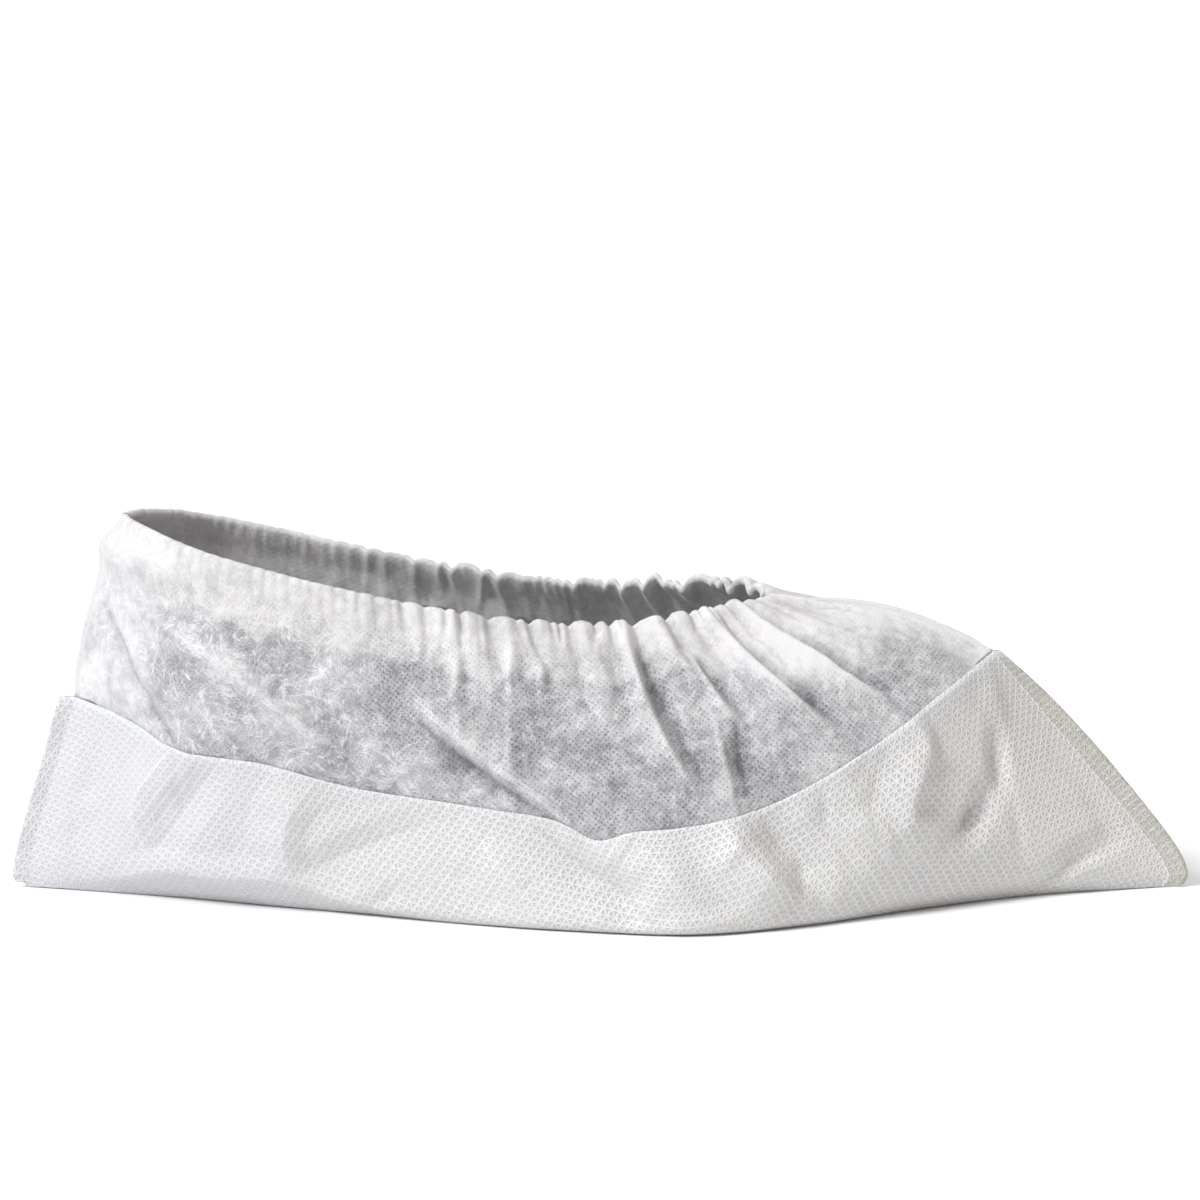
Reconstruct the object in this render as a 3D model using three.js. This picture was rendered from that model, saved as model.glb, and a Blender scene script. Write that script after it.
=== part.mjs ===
// Disposable overshoe in its worn shape, empty, standing on its sole. Millimetres, +Z up.
//
// The toe points to +X and the right side of the foot is -Y. A thick laminated sheet, the sole
// cover, lies flat on the floor, rises round the foot like a boat and is welded into a fin at the
// toe and at the heel. Two thin nonwoven panels, right and left, tuck inside its top edge, meet
// along the toe ridge and the heel, and end in a hem that is folded inwards over an elastic thread.
//
// The cloth is described by a surface S(t, v) for each side of the foot. t runs from the heel seam
// (0) to the toe seam (11), one unit for each row of SECTIONS. v runs up the side: 0 is the line
// where the sheet leaves the floor, 1 the bulge above it, 2 the top edge of the sole cover, 3 the
// middle of the upper and 4 the mouth.
import * as THREE from "three";

// ---------------------------------------------------------------- driving dimensions
const SOLE_WALL = 1.2;
const UPPER_WALL = 1.2;
const GAP = 0.3; // between neighbouring pieces
const TOE_FIN = 5.5; // how far each weld stands out from its seam
const HEEL_FIN = 4.0;
const FIN_LIFT = 0.45; // the rise of a fin's outer edge from the floor, as a share of its width
const FIN_TOP = 0.7; // a fin's width at its top end, as a share of its width
const HEM_RADIUS = 1.5; // of the fold over the elastic, at the middle of the cloth
const HEM_LEG = 12.0; // how far the hem's inner leg hangs below the fold
const ELASTIC_RADIUS = 0.6;
const TUCK = 0.22; // how far the upper reaches into the sole cover, in v
const BUTT = 0.05; // how far above the sole cover's edge it ends at the seams, in v

const MOUTH_V = 4;
const EDGE_V = 2;
const CLOSE = 0.05; // the least distance of an inner face from the centre plane
const STEP_OUT_V = [2.02, 2.5]; // where the upper comes out from behind the sole cover
const OPEN_OUT_V = 3.2; // above this the panels' flat seams open out into a round mouth
const SEAM_FADE_T = 0.5; // folds and gathers die out over this much of t at the seams
const FLOOR_FADE_V = [0.1, 0.7]; // and over this much of v above the floor

// One row for each section, from the heel seam to the toe seam, for the right side. floor is where
// the sheet leaves the floor, bulge the level above it, edge the sole cover's top edge and mouth the
// opening. crown rounds the upper outwards, and left is the left side's share of these widths.
const SECTIONS = table(
  [
    ["floorX", "floorY"],
    ["bulgeX", "bulgeY", "bulgeZ"],
    ["edgeX", "edgeY", "edgeZ", "crown"],
    ["mouthX", "mouthY", "mouthZ", "left"],
  ].flat(),
  [
    [[-171.5, 0], [-171.3, 0, 11], [-157, 0, 58.5, 1.5], [-142, 0, 113, 1.0]],
    [[-150, 6], [-147.5, 13, 15], [-141, 15, 55, 2.5], [-132, 20, 111, 1.0]],
    [[-124, 14], [-123.5, 26, 14], [-122, 31, 48, 3], [-117, 32, 107, 1.0]],
    [[-98, 24], [-98, 34, 13], [-98, 39, 46, 4], [-96, 38, 102, 0.98]],
    [[-70, 34], [-70, 41, 12], [-70, 43, 39.5, 4], [-72, 40, 96.5, 0.93]],
    [[-40, 46], [-40, 49, 11], [-40, 48, 36, 4], [-46, 41, 91.5, 0.88]],
    [[-8, 55], [-8.3, 57, 10], [-9, 56, 33, 4], [-21, 40, 88, 0.88]],
    [[28, 60], [25, 62, 10], [18, 59, 31, 4], [2, 36, 86.5, 1.0]],
    [[62, 48], [57.5, 54, 12], [48, 52, 36, 4], [21, 31, 87.5, 1.05]],
    [[94, 29], [91, 39, 15], [78, 40, 50, 4], [37, 22, 89.5, 1.05]],
    [[130, 11], [126, 20, 17], [104, 20, 65.5, 4], [48, 11, 89.5, 1.0]],
    [[170.5, 0], [167.3, 0, 12.5], [118, 0, 72.5, 4.5], [52, 0, 88.5, 1.0]],
  ].map((row) => row.flat()),
);
const LAST = SECTIONS.length - 1;

// How sharply the two sides meet at the seams on each level: 1 is a point, 0 a round end.
const PINCH = [1, 1, 1, 0.6, 0];

// The sheet comes up from the floor as if from this share of the footprint's half width.
const UNDERFOOT = 0.55;

// Where the section's spine starts and ends: the ends open out from these points like a fan.
const SPINE_X = [-110, 60];

// Ridges (rise above 0) and valleys (below 0) that run across the cloth from one point of (t, v) to
// another. width is the half width in millimetres.
const FOLDS = table(
  ["side", "fromT", "fromV", "toT", "toV", "width", "rise"],
  [
    // sole cover, right
    ["right", 0.9, 1.9, 1.7, 1.1, 7, 2.0],
    ["right", 2.6, 2.1, 1.5, 1.0, 6, -2.8],
    ["right", 3.7, 2.1, 3.1, 1.0, 6, 2.0],
    ["right", 5.0, 2.0, 3.2, 0.9, 6, -3.0],
    ["right", 5.6, 1.95, 6.7, 0.5, 5, -2.4],
    ["right", 7.55, 2.1, 8.0, 0.7, 5, 2.4],
    ["right", 8.1, 2.0, 8.1, 0.8, 5, -2.4],
    ["right", 9.3, 1.9, 9.2, 0.9, 7, 2.4],
    ["right", 10.2, 1.7, 9.5, 1.1, 4, -3.0],
    ["right", 10.8, 1.1, 10.0, 0.3, 5, -2.0],
    // upper, right
    ["right", 0.1, 3.4, 2.4, 3.1, 6, 2.2],
    ["right", 2.2, 3.1, 3.7, 2.4, 6, 2.2],
    ["right", 0.2, 3.2, 1.9, 2.0, 5, -2.0],
    ["right", 4.6, 3.3, 6.0, 2.0, 5, 3.0],
    ["right", 4.6, 2.8, 5.8, 1.9, 5, -2.2],
    ["right", 7.35, 4.0, 7.6, 2.0, 4, 1.8],
    ["right", 8.5, 3.7, 8.9, 2.2, 4, 2.0],
    ["right", 9.4, 3.7, 9.65, 2.3, 4, 1.8],
    // sole cover, left
    ["left", 2.4, 2.0, 1.6, 0.9, 7, -2.4],
    ["left", 4.4, 2.0, 3.0, 0.8, 6, -2.6],
    ["left", 6.2, 1.9, 6.9, 0.6, 6, -2.4],
    ["left", 7.9, 2.0, 8.4, 0.8, 6, 2.4],
    ["left", 9.6, 1.9, 9.4, 0.8, 6, -2.4],
    // upper, left
    ["left", 0.2, 3.3, 2.0, 2.2, 6, 2.4],
    ["left", 2.6, 3.4, 4.2, 2.2, 6, 2.4],
    ["left", 5.0, 3.4, 6.2, 1.9, 5, 2.6],
    ["left", 6.9, 3.8, 7.2, 2.2, 4, 1.8],
    ["left", 8.2, 3.7, 8.5, 2.1, 4, 2.0],
    ["left", 9.2, 3.7, 9.5, 2.2, 4, 1.8],
  ],
);
const STEP_MM = 24; // about how long one unit of t or v is on the cloth
const FOLD_TAPER = 0.18; // the share of a fold's length over which it fades at each end

// At the heel the elastic draws the mouth in, and the cloth swells out just below it.
const SWELL = { rise: 2.6, v: 3.7, widthV: 0.2, fullToT: 0.8, goneFromT: 3 };

// The place on each side where a fold drags the sole cover's edge down.
const EDGE_DIPS = table(
  ["side", "t", "drop", "widthT", "widthV"],
  [
    ["right", 6.3, 4.5, 0.3, 0.5],
    ["left", 6.4, 3.0, 0.4, 0.5],
  ],
);

// Gathers along the elastic. Each takes COLUMNS_PER_GATHER columns of the mesh, which stand closer
// together in t towards the toe, as COLUMN_POWER spaces them.
const GATHERS = 24;
const COLUMNS_PER_GATHER = 3;
const COLUMN_POWER = 0.86;
const GATHER_DEPTH = { heel: 0.4, front: 1.2, frontFromT: 4, frontToT: 6 };
const GATHER_FADE_V = [2.9, 3.9];
const SCALLOP = 0.5; // the height of the mouth's scallops, as a share of the gathers' depth

const SOLE_LEVELS = [0, 0.35, 1, 1.45, 1.78, 2];
const FIRST_RISE = 0.24; // from the upper's lower edge to its next level
const UPPER_LEVELS = [2.4, 2.8, 3.2, 3.55, 3.8, 4];
const HEM_ANGLES = [60, 120, 180];
const ELASTIC_FACES = 4;

const SIDES = [
  { name: "right", sign: -1 },
  { name: "left", sign: 1 },
];

// ---------------------------------------------------------------- small helpers
function table(columns, rows) {
  return rows.map((row) => Object.fromEntries(row.map((value, i) => [columns[i], value])));
}

const point = (x, y, z) => new THREE.Vector3(x, y, z);
const mix = THREE.MathUtils.lerp;
const smooth = THREE.MathUtils.smoothstep;

// Catmull-Rom through b and c, with a and d before and after them.
function through(a, b, c, d, f) {
  const along = (i, j, k, l) =>
    0.5 * (2 * j + (k - i) * f + (2 * i - 5 * j + 4 * k - l) * f * f + (3 * j - i - 3 * k + l) * f * f * f);
  return point(along(a.x, b.x, c.x, d.x), along(a.y, b.y, c.y, d.y), along(a.z, b.z, c.z, d.z));
}

// ---------------------------------------------------------------- the cloth's surface
// The five levels of one section, with y measured outwards from the centre plane.
function levelPoints(s, sideName) {
  const share = sideName === "left" ? s.left : 1;
  const floor = point(s.floorX, s.floorY * share, 0);
  const bulge = point(s.bulgeX, s.bulgeY * share, s.bulgeZ);
  const edge = point(s.edgeX, s.edgeY * share, s.edgeZ);
  const mouth = point(s.mouthX, s.mouthY * share, s.mouthZ);
  const spine = point(THREE.MathUtils.clamp(s.edgeX, ...SPINE_X), 0, s.edgeZ);
  const outwards = edge.clone().sub(spine).normalize();
  const chord = mouth.clone().sub(edge).normalize();
  const crown = outwards.addScaledVector(chord, -outwards.dot(chord)).normalize();
  const middle = edge.clone().add(mouth).multiplyScalar(0.5).addScaledVector(crown, s.crown);
  return [floor, bulge, edge, middle, mouth];
}

const LEVELS = Object.fromEntries(
  SIDES.map(({ name }) => [name, SECTIONS.map((section) => levelPoints(section, name))]),
);

// The point that the level's curve would pass through one section beyond an end.
function beyond(end, next, pinch) {
  const straight = end.clone().multiplyScalar(2).sub(next);
  const mirrored = point(next.x, -next.y, next.z);
  return mirrored.lerp(straight, pinch);
}

function alongLevel(sideName, level, t) {
  const at = (i) => LEVELS[sideName][i][level];
  const i = Math.min(Math.floor(t), LAST - 1);
  const before = i > 0 ? at(i - 1) : beyond(at(0), at(1), PINCH[level]);
  const after = i + 2 <= LAST ? at(i + 2) : beyond(at(LAST), at(LAST - 1), PINCH[level]);
  return through(before, at(i), at(i + 1), after, t - i);
}

// The surface without its folds. It may bend sharply at the sole cover's edge.
function smoothSurface(sideName, t, v) {
  const [floor, bulge, edge, middle, mouth] = PINCH.map((_, level) => alongLevel(sideName, level, t));
  const straightOn = (from, to) => to.clone().multiplyScalar(2).sub(from);
  const underfoot = point(floor.x, floor.y * UNDERFOOT, 0);
  const sheet = [underfoot, floor, bulge, edge, straightOn(bulge, edge)];
  const upper = [straightOn(middle, edge), edge, middle, mouth, straightOn(middle, mouth)];
  const row = v < EDGE_V ? sheet : upper;
  const up = v < EDGE_V ? v : v - EDGE_V;
  const k = Math.min(Math.floor(up), 1);
  const found = through(row[k], row[k + 1], row[k + 2], row[k + 3], up - k);
  for (const dip of EDGE_DIPS.filter((d) => d.side === sideName)) {
    const near = ((t - dip.t) / dip.widthT) ** 2 + ((v - EDGE_V) / dip.widthV) ** 2;
    found.z -= dip.drop * Math.exp(-near);
  }
  found.z = Math.max(found.z, 0);
  return found;
}

// How far one fold lifts the cloth at (t, v).
function foldRise(fold, t, v) {
  const run = new THREE.Vector2(fold.toT - fold.fromT, fold.toV - fold.fromV).multiplyScalar(STEP_MM);
  const here = new THREE.Vector2(t - fold.fromT, v - fold.fromV).multiplyScalar(STEP_MM);
  const share = THREE.MathUtils.clamp(here.dot(run) / run.lengthSq(), 0, 1);
  const off = here.addScaledVector(run, -share).length() / fold.width;
  const taper = smooth(share, 0, FOLD_TAPER) * (1 - smooth(share, 1 - FOLD_TAPER, 1));
  return fold.rise * Math.exp(-off * off) * taper;
}

const awayFromSeams = (t) => smooth(t, 0, SEAM_FADE_T) * (1 - smooth(t, LAST - SEAM_FADE_T, LAST));

function gatherWave(t) {
  const across = (t / LAST) ** (1 / COLUMN_POWER);
  const inFront = smooth(t, GATHER_DEPTH.frontFromT, GATHER_DEPTH.frontToT);
  const depth = mix(GATHER_DEPTH.heel, GATHER_DEPTH.front, inFront);
  return depth * awayFromSeams(t) * Math.sin(2 * Math.PI * GATHERS * across);
}

// The outward shift of the cloth at (t, v): its folds, which die out on the floor and at the seams,
// the swell at the heel and the gathers.
function relief(sideName, t, v) {
  const onSide = FOLDS.filter((fold) => fold.side === sideName);
  const folds = onSide.reduce((sum, fold) => sum + foldRise(fold, t, v), 0);
  const swell = SWELL.rise * Math.exp(-(((v - SWELL.v) / SWELL.widthV) ** 2));
  const atHeel = 1 - smooth(t, SWELL.fullToT, SWELL.goneFromT);
  const gathers = gatherWave(t) * smooth(v, ...GATHER_FADE_V);
  return folds * awayFromSeams(t) * smooth(v, ...FLOOR_FADE_V) + swell * atHeel + gathers;
}

// The unit vectors of the smooth surface at (t, v), from its slopes over a small step.
const NUDGE = 0.02;
function frameAt(sideName, t, v) {
  const t0 = Math.max(t - NUDGE, 0);
  const t1 = Math.min(t + NUDGE, LAST);
  const v0 = Math.max(v - NUDGE, 0);
  const v1 = Math.min(v + NUDGE, MOUTH_V);
  const forwards = smoothSurface(sideName, t1, v).sub(smoothSurface(sideName, t0, v)).normalize();
  const upwards = smoothSurface(sideName, t, v1).sub(smoothSurface(sideName, t, v0)).normalize();
  const outwards = point(0, 0, 0).crossVectors(upwards, forwards).normalize();
  return { upwards, outwards };
}

// The point at this depth inside the cloth's outer face, y still measured outwards.
function clothPoint(sideName, t, v, depth) {
  const found = smoothSurface(sideName, t, v);
  found.addScaledVector(frameAt(sideName, t, v).outwards, relief(sideName, t, v) - depth);
  found.z += gatherWave(t) * SCALLOP * smooth(v, ...GATHER_FADE_V);
  found.z = Math.max(found.z, 0);
  return found;
}

// ---------------------------------------------------------------- meshes from rows of points
class Skin {
  constructor() {
    this.points = [];
    this.triangles = [];
  }

  add(p) {
    this.points.push(p);
    return this.points.length - 1;
  }

  // Split along the shorter diagonal, so that neighbouring skins fold along the same lines.
  quad(a, b, c, d) {
    const across = (i, j) => this.points[i].distanceTo(this.points[j]);
    if (across(a, c) <= across(b, d)) this.triangles.push([a, b, c], [a, c, d]);
    else this.triangles.push([a, b, d], [b, c, d]);
  }

  // The strips between rows of the same length; ring closes each row on itself.
  strips(rows, ring, turned = false) {
    for (let j = 0; j + 1 < rows.length; j++) {
      const count = rows[j].length;
      for (let i = 0; i < (ring ? count : count - 1); i++) {
        const next = (i + 1) % count;
        const [low, high] = turned ? [rows[j + 1], rows[j]] : [rows[j], rows[j + 1]];
        this.quad(low[i], low[next], high[next], high[i]);
      }
    }
  }

  mesh(name, material, mirrored) {
    const flipped = mirrored ? this.triangles.map(([a, b, c]) => [a, c, b]) : this.triangles;
    const geometry = new THREE.BufferGeometry();
    const places = this.points.flatMap((p) => [p.x, p.y, p.z]);
    geometry.setAttribute("position", new THREE.Float32BufferAttribute(places, 3));
    geometry.setIndex(flipped.flat());
    geometry.computeVertexNormals();
    const made = new THREE.Mesh(geometry, material);
    made.name = name;
    return made;
  }
}

// Both the sole cover and the uppers have their columns at these places, heel to toe.
const COLUMNS = GATHERS * COLUMNS_PER_GATHER;
const columnT = (i) => LAST * (i / COLUMNS) ** COLUMN_POWER;

// ---------------------------------------------------------------- sole cover
// The t where the inner faces of the two sides meet on level v, near the heel or near the toe.
const MEETING_REACH = 1.2;
const HALVINGS = 30;
function innerMeeting(sideName, v, atToe) {
  const toT = (share) => (atToe ? LAST - share : share);
  let meeting = 0;
  let clear = MEETING_REACH;
  for (let i = 0; i < HALVINGS; i++) {
    const half = (meeting + clear) / 2;
    if (clothPoint(sideName, toT(half), v, SOLE_WALL).y > 0) clear = half;
    else meeting = half;
  }
  return toT(clear);
}

// The columns of the inner face, drawn in at both ends so that they start and end where it meets.
function innerT(t, heel, toe) {
  if (t < MEETING_REACH) return mix(heel, MEETING_REACH, t / MEETING_REACH);
  if (t > LAST - MEETING_REACH) return mix(toe, LAST - MEETING_REACH, (LAST - t) / MEETING_REACH);
  return t;
}

// The outer and inner skin of one side, as rows of levels from the heel to the toe.
function soleSide({ name, sign }) {
  const outer = [];
  const inner = [];
  for (const v of SOLE_LEVELS) {
    const heel = innerMeeting(name, v, false);
    const toe = innerMeeting(name, v, true);
    const outerRow = [];
    const innerRow = [];
    for (let i = 0; i <= COLUMNS; i++) {
      const t = columnT(i);
      const p = clothPoint(name, t, v, 0);
      outerRow.push(point(p.x, Math.max(p.y, SOLE_WALL) * sign, p.z));
      const q = clothPoint(name, innerT(t, heel, toe), v, SOLE_WALL);
      const atSeam = i === 0 || i === COLUMNS;
      const across = atSeam ? 0 : Math.max(q.y, CLOSE);
      innerRow.push(point(q.x, across * sign, v === 0 ? SOLE_WALL : Math.max(q.z, SOLE_WALL + v)));
    }
    outer.push(outerRow);
    inner.push(innerRow);
  }
  return { outer, inner };
}

// The outer edge of a weld, on each level: it stands out from the seam in the centre plane.
function finEdges(seam, width, direction) {
  return seam.map((p, level) => {
    const below = seam[Math.max(level - 1, 0)];
    const above = seam[Math.min(level + 1, seam.length - 1)];
    const run = above.clone().sub(below).setY(0).normalize();
    const out = point(run.z, 0, -run.x);
    if (out.x * direction < 0) out.negate();
    if (level === 0) out.set(direction, 0, FIN_LIFT).normalize();
    if (level === seam.length - 1) out.set(direction * FIN_TOP, 0, 0);
    return point(p.x + out.x * width, 0, Math.max(p.z + out.z * width, 0));
  });
}

function soleCover(material) {
  const skin = new Skin();
  const [right, left] = SIDES.map(soleSide);
  const toeFin = finEdges(right.outer.map((row) => row[COLUMNS]), TOE_FIN, 1);
  const heelFin = finEdges(right.outer.map((row) => row[0]), HEEL_FIN, -1);
  const finFace = (p, sign) => point(p.x, sign * SOLE_WALL, p.z);

  // Each ring runs heel to toe on the right, round the toe's weld, back and round the heel's.
  const outerRings = SOLE_LEVELS.map((_, level) =>
    [
      ...right.outer[level],
      finFace(toeFin[level], -1),
      finFace(toeFin[level], 1),
      ...left.outer[level].toReversed(),
      finFace(heelFin[level], 1),
      finFace(heelFin[level], -1),
    ].map((p) => skin.add(p)),
  );
  const innerRings = SOLE_LEVELS.map((_, level) =>
    [...right.inner[level], ...left.inner[level].slice(1, -1).toReversed()].map((p) => skin.add(p)),
  );
  skin.strips(outerRings, true);
  skin.strips(innerRings, true, true);

  const rightAt = (i) => i;
  const leftAt = (i) => 2 * COLUMNS + 3 - i; // on the outer ring
  const leftInner = (i) => (i % COLUMNS === 0 ? i : 2 * COLUMNS - i); // on the inner ring
  const toeRight = COLUMNS + 1;
  const heelLeft = 2 * COLUMNS + 4;
  const top = outerRings.at(-1);
  const topIn = innerRings.at(-1);
  const low = outerRings[0];
  const lowIn = innerRings[0];
  for (let i = 0; i < COLUMNS; i++) {
    const next = i + 1;
    skin.quad(top[rightAt(i)], top[rightAt(next)], topIn[next], topIn[i]);
    skin.quad(top[leftAt(next)], top[leftAt(i)], topIn[leftInner(i)], topIn[leftInner(next)]);
    skin.quad(low[rightAt(next)], low[rightAt(i)], low[leftAt(i)], low[leftAt(next)]);
    if (i > 0 && next < COLUMNS) {
      skin.quad(lowIn[i], lowIn[next], lowIn[leftInner(next)], lowIn[leftInner(i)]);
    }
  }
  const beforeToe = COLUMNS - 1;
  skin.triangles.push([lowIn[0], lowIn[1], lowIn[leftInner(1)]]);
  skin.triangles.push([lowIn[beforeToe], lowIn[COLUMNS], lowIn[leftInner(beforeToe)]]);

  // The welds' top ends fan out from where the inner faces meet, and their undersides are flat.
  const toeFan = [COLUMNS, toeRight, toeRight + 1, toeRight + 2].map((i) => top[i]);
  const heelFan = [heelLeft - 1, heelLeft, heelLeft + 1, 0].map((i) => top[i]);
  for (const [fan, centre] of [[toeFan, topIn[COLUMNS]], [heelFan, topIn[0]]]) {
    for (let i = 0; i + 1 < fan.length; i++) skin.triangles.push([fan[i], fan[i + 1], centre]);
  }
  skin.quad(low[toeRight], low[COLUMNS], low[toeRight + 2], low[toeRight + 1]);
  skin.quad(low[heelLeft], low[heelLeft - 1], low[0], low[heelLeft + 1]);
  return skin.mesh("sole_cover", material, false);
}

// ---------------------------------------------------------------- upper panels and elastic
// The upper's lower edge lies just above the sole cover's at the seams, and inside it elsewhere. It
// moves in behind the sole cover's face before it goes down.
const SEAM_T = 0.35;
const TUCKED_T = 0.9;
const fromSeam = (t) => Math.min(t, LAST - t);
const lowerEdge = (t) => mix(EDGE_V + BUTT, EDGE_V - TUCK, smooth(fromSeam(t), SEAM_T, TUCKED_T));

// How deep the middle of the upper lies inside the cloth's outer face.
function depthAt(t, v) {
  const behind = smooth(fromSeam(t), 0, SEAM_T) * (1 - smooth(v, ...STEP_OUT_V));
  return UPPER_WALL / 2 + (SOLE_WALL + GAP) * behind;
}

// How much of the upper's thickness each panel keeps clear of the centre plane at height v, so that
// the panels lie face to face along their seams and cross it squarely at the mouth.
const pinchAt = (v) => 1 - smooth(v, OPEN_OUT_V, MOUTH_V);

// The section of one upper at t, from its lower edge over the hem to the hem's inner leg: points of
// the middle of the cloth, and the direction that the cloth's outer face looks in there.
function upperSection(sideName, t) {
  const low = lowerEdge(t);
  const path = [low, low + FIRST_RISE, ...UPPER_LEVELS].map((v) => ({
    v,
    at: clothPoint(sideName, t, v, depthAt(t, v)),
    facing: frameAt(sideName, t, v).outwards,
  }));
  const { outwards, upwards } = frameAt(sideName, t, MOUTH_V);
  const centre = path.at(-1).at.clone().addScaledVector(outwards, -HEM_RADIUS);
  for (const degrees of HEM_ANGLES) {
    const angle = THREE.MathUtils.degToRad(degrees);
    const facing = outwards.clone().multiplyScalar(Math.cos(angle));
    facing.addScaledVector(upwards, Math.sin(angle));
    path.push({ v: MOUTH_V, at: centre.clone().addScaledVector(facing, HEM_RADIUS), facing });
  }
  const { at, facing } = path.at(-1);
  path.push({ v: MOUTH_V, at: at.clone().addScaledVector(upwards, -HEM_LEG), facing });
  return { path, centre, outwards, upwards };
}

function upperPanel({ name, sign }, material) {
  const skin = new Skin();
  const columns = [];
  for (let i = 0; i <= COLUMNS; i++) {
    const { path } = upperSection(name, columnT(i));
    const face = (shift, clearance) => ({ v, at, facing }) => {
      const p = at.clone().addScaledVector(facing, shift);
      return point(p.x, Math.max(p.y, GAP / 2 + clearance * pinchAt(v)) * sign, p.z);
    };
    const outer = path.map(face(UPPER_WALL / 2, UPPER_WALL));
    const inner = path.map(face(-UPPER_WALL / 2, 0));
    columns.push([...outer, ...inner.toReversed()].map((p) => skin.add(p)));
  }
  // Each column is a closed outline across the cloth, and the strips join one column to the next.
  const rows = columns[0].map((_, j) => columns.map((column) => column[j]));
  skin.strips([...rows, rows[0]], false);
  const last = rows.length - 1;
  for (let j = 0; j < (last - 1) / 2; j++) {
    const [heel, toe] = [columns[0], columns.at(-1)];
    skin.quad(heel[j], heel[j + 1], heel[last - 1 - j], heel[last - j]);
    skin.quad(toe[last - j], toe[last - 1 - j], toe[j + 1], toe[j]);
  }
  return skin.mesh(`upper_${name}`, material, sign > 0);
}

// The elastic is one ring that follows the hem's fold round both sides.
function elasticThread(material) {
  const skin = new Skin();
  const [right, left] = SIDES.map(({ name, sign }) =>
    Array.from({ length: COLUMNS + 1 }, (_, i) => {
      const { centre, outwards, upwards } = upperSection(name, columnT(i));
      return Array.from({ length: ELASTIC_FACES }, (_, k) => {
        const angle = (2 * Math.PI * k) / ELASTIC_FACES;
        const p = centre
          .clone()
          .addScaledVector(outwards, ELASTIC_RADIUS * Math.cos(angle))
          .addScaledVector(upwards, ELASTIC_RADIUS * Math.sin(angle));
        return point(p.x, p.y * sign, p.z);
      });
    }),
  );
  const loop = [...right, ...left.slice(1, -1).toReversed()];
  const rings = loop.map((ring) => ring.map((p) => skin.add(p)));
  skin.strips([...rings, rings[0]], true);
  return skin.mesh("elastic_thread", material, true);
}

// ---------------------------------------------------------------- the object
const laminate = new THREE.MeshStandardMaterial({ color: 0xf3f4f7, roughness: 0.5, metalness: 0 });
const nonwoven = new THREE.MeshStandardMaterial({ color: 0xf1f0ee, roughness: 0.9, metalness: 0 });
const rubber = new THREE.MeshStandardMaterial({ color: 0xe3d6bd, roughness: 0.7, metalness: 0 });

const overshoe = new THREE.Group();
overshoe.add(soleCover(laminate));
for (const side of SIDES) overshoe.add(upperPanel(side, nonwoven));
overshoe.add(elasticThread(rubber));

export default overshoe;
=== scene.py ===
import math
from collections import namedtuple

import bmesh
import bpy
import numpy as np
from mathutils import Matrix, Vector


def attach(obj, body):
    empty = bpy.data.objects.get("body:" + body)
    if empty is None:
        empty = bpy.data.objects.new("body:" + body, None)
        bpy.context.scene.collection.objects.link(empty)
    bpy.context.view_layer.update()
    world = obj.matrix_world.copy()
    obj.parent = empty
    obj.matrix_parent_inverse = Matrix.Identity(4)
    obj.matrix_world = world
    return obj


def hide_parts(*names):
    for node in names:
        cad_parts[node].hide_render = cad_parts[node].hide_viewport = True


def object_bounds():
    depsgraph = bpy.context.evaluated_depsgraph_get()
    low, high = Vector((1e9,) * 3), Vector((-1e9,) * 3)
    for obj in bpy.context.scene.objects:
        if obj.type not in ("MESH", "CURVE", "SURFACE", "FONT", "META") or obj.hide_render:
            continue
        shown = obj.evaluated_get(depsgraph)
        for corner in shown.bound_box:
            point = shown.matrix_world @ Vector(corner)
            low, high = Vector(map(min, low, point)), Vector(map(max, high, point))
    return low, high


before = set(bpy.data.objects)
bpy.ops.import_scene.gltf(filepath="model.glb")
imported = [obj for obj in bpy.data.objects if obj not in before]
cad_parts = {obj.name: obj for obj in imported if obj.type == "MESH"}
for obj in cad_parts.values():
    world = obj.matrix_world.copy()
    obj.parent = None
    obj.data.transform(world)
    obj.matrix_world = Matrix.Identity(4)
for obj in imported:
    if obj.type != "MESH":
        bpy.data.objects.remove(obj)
cad_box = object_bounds()

MM = 0.001
UV_MM = 100.0  # millimetres of cloth in one unit of its map
SOLE_WALL = 0.5
UPPER_WALL = 0.36
GAP = 0.25  # between the two where they lie one behind the other
SKIN_HALF_GAP = 0.04  # what each side keeps clear of the centre plane

TOE_FIN = 5.5  # the width of the weld that stands out from the toe seam
HEEL_FIN = 4.0
FIN_LIFT = 0.45  # how steeply a weld's lowest row points up
FIN_TOP = 0.7  # the width at the weld's top row, as a share
FIN_HALF = 0.32  # half the thickness of a weld

HEM_RADIUS = 1.25
HEM_DEPTH = 17.0  # of the hem's inner leg
ELASTIC_RADIUS = 0.7

MOUTH_V = 4.0
EDGE_V = 2.0
TUCK = 0.22  # how far in v the upper reaches down behind the sole cover's edge
BUTT = 0.006  # near the seams it stands this far above the edge instead
SEAM_T = 0.35  # up to here from a seam it butts, and from TUCKED_T on it is tucked in
TUCKED_T = 0.9
STEP_OUT_V = (2.03, 2.3)
OPEN_OUT_V = 3.2  # above this the two uppers may touch at the centre plane
CLOSED_V = (3.3, 3.6)  # above this the two uppers lap each other at the heel
CLOSED_LAP = 0.06
SEAM_FADE_T = 0.5  # folds fade out this near to a seam
FLOOR_FADE_V = (0.05, 0.6)
UNDERFOOT = 0.55  # where the sheet's curve comes from underfoot, as a share of the floor line's y
NUDGE = 0.02  # the step in t and v over which directions are taken

SECTION_COLUMNS = (
    "floorX floorY bulgeX bulgeY bulgeZ edgeX edgeY edgeZ crown mouthX mouthY mouthZ left"
).split()
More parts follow.
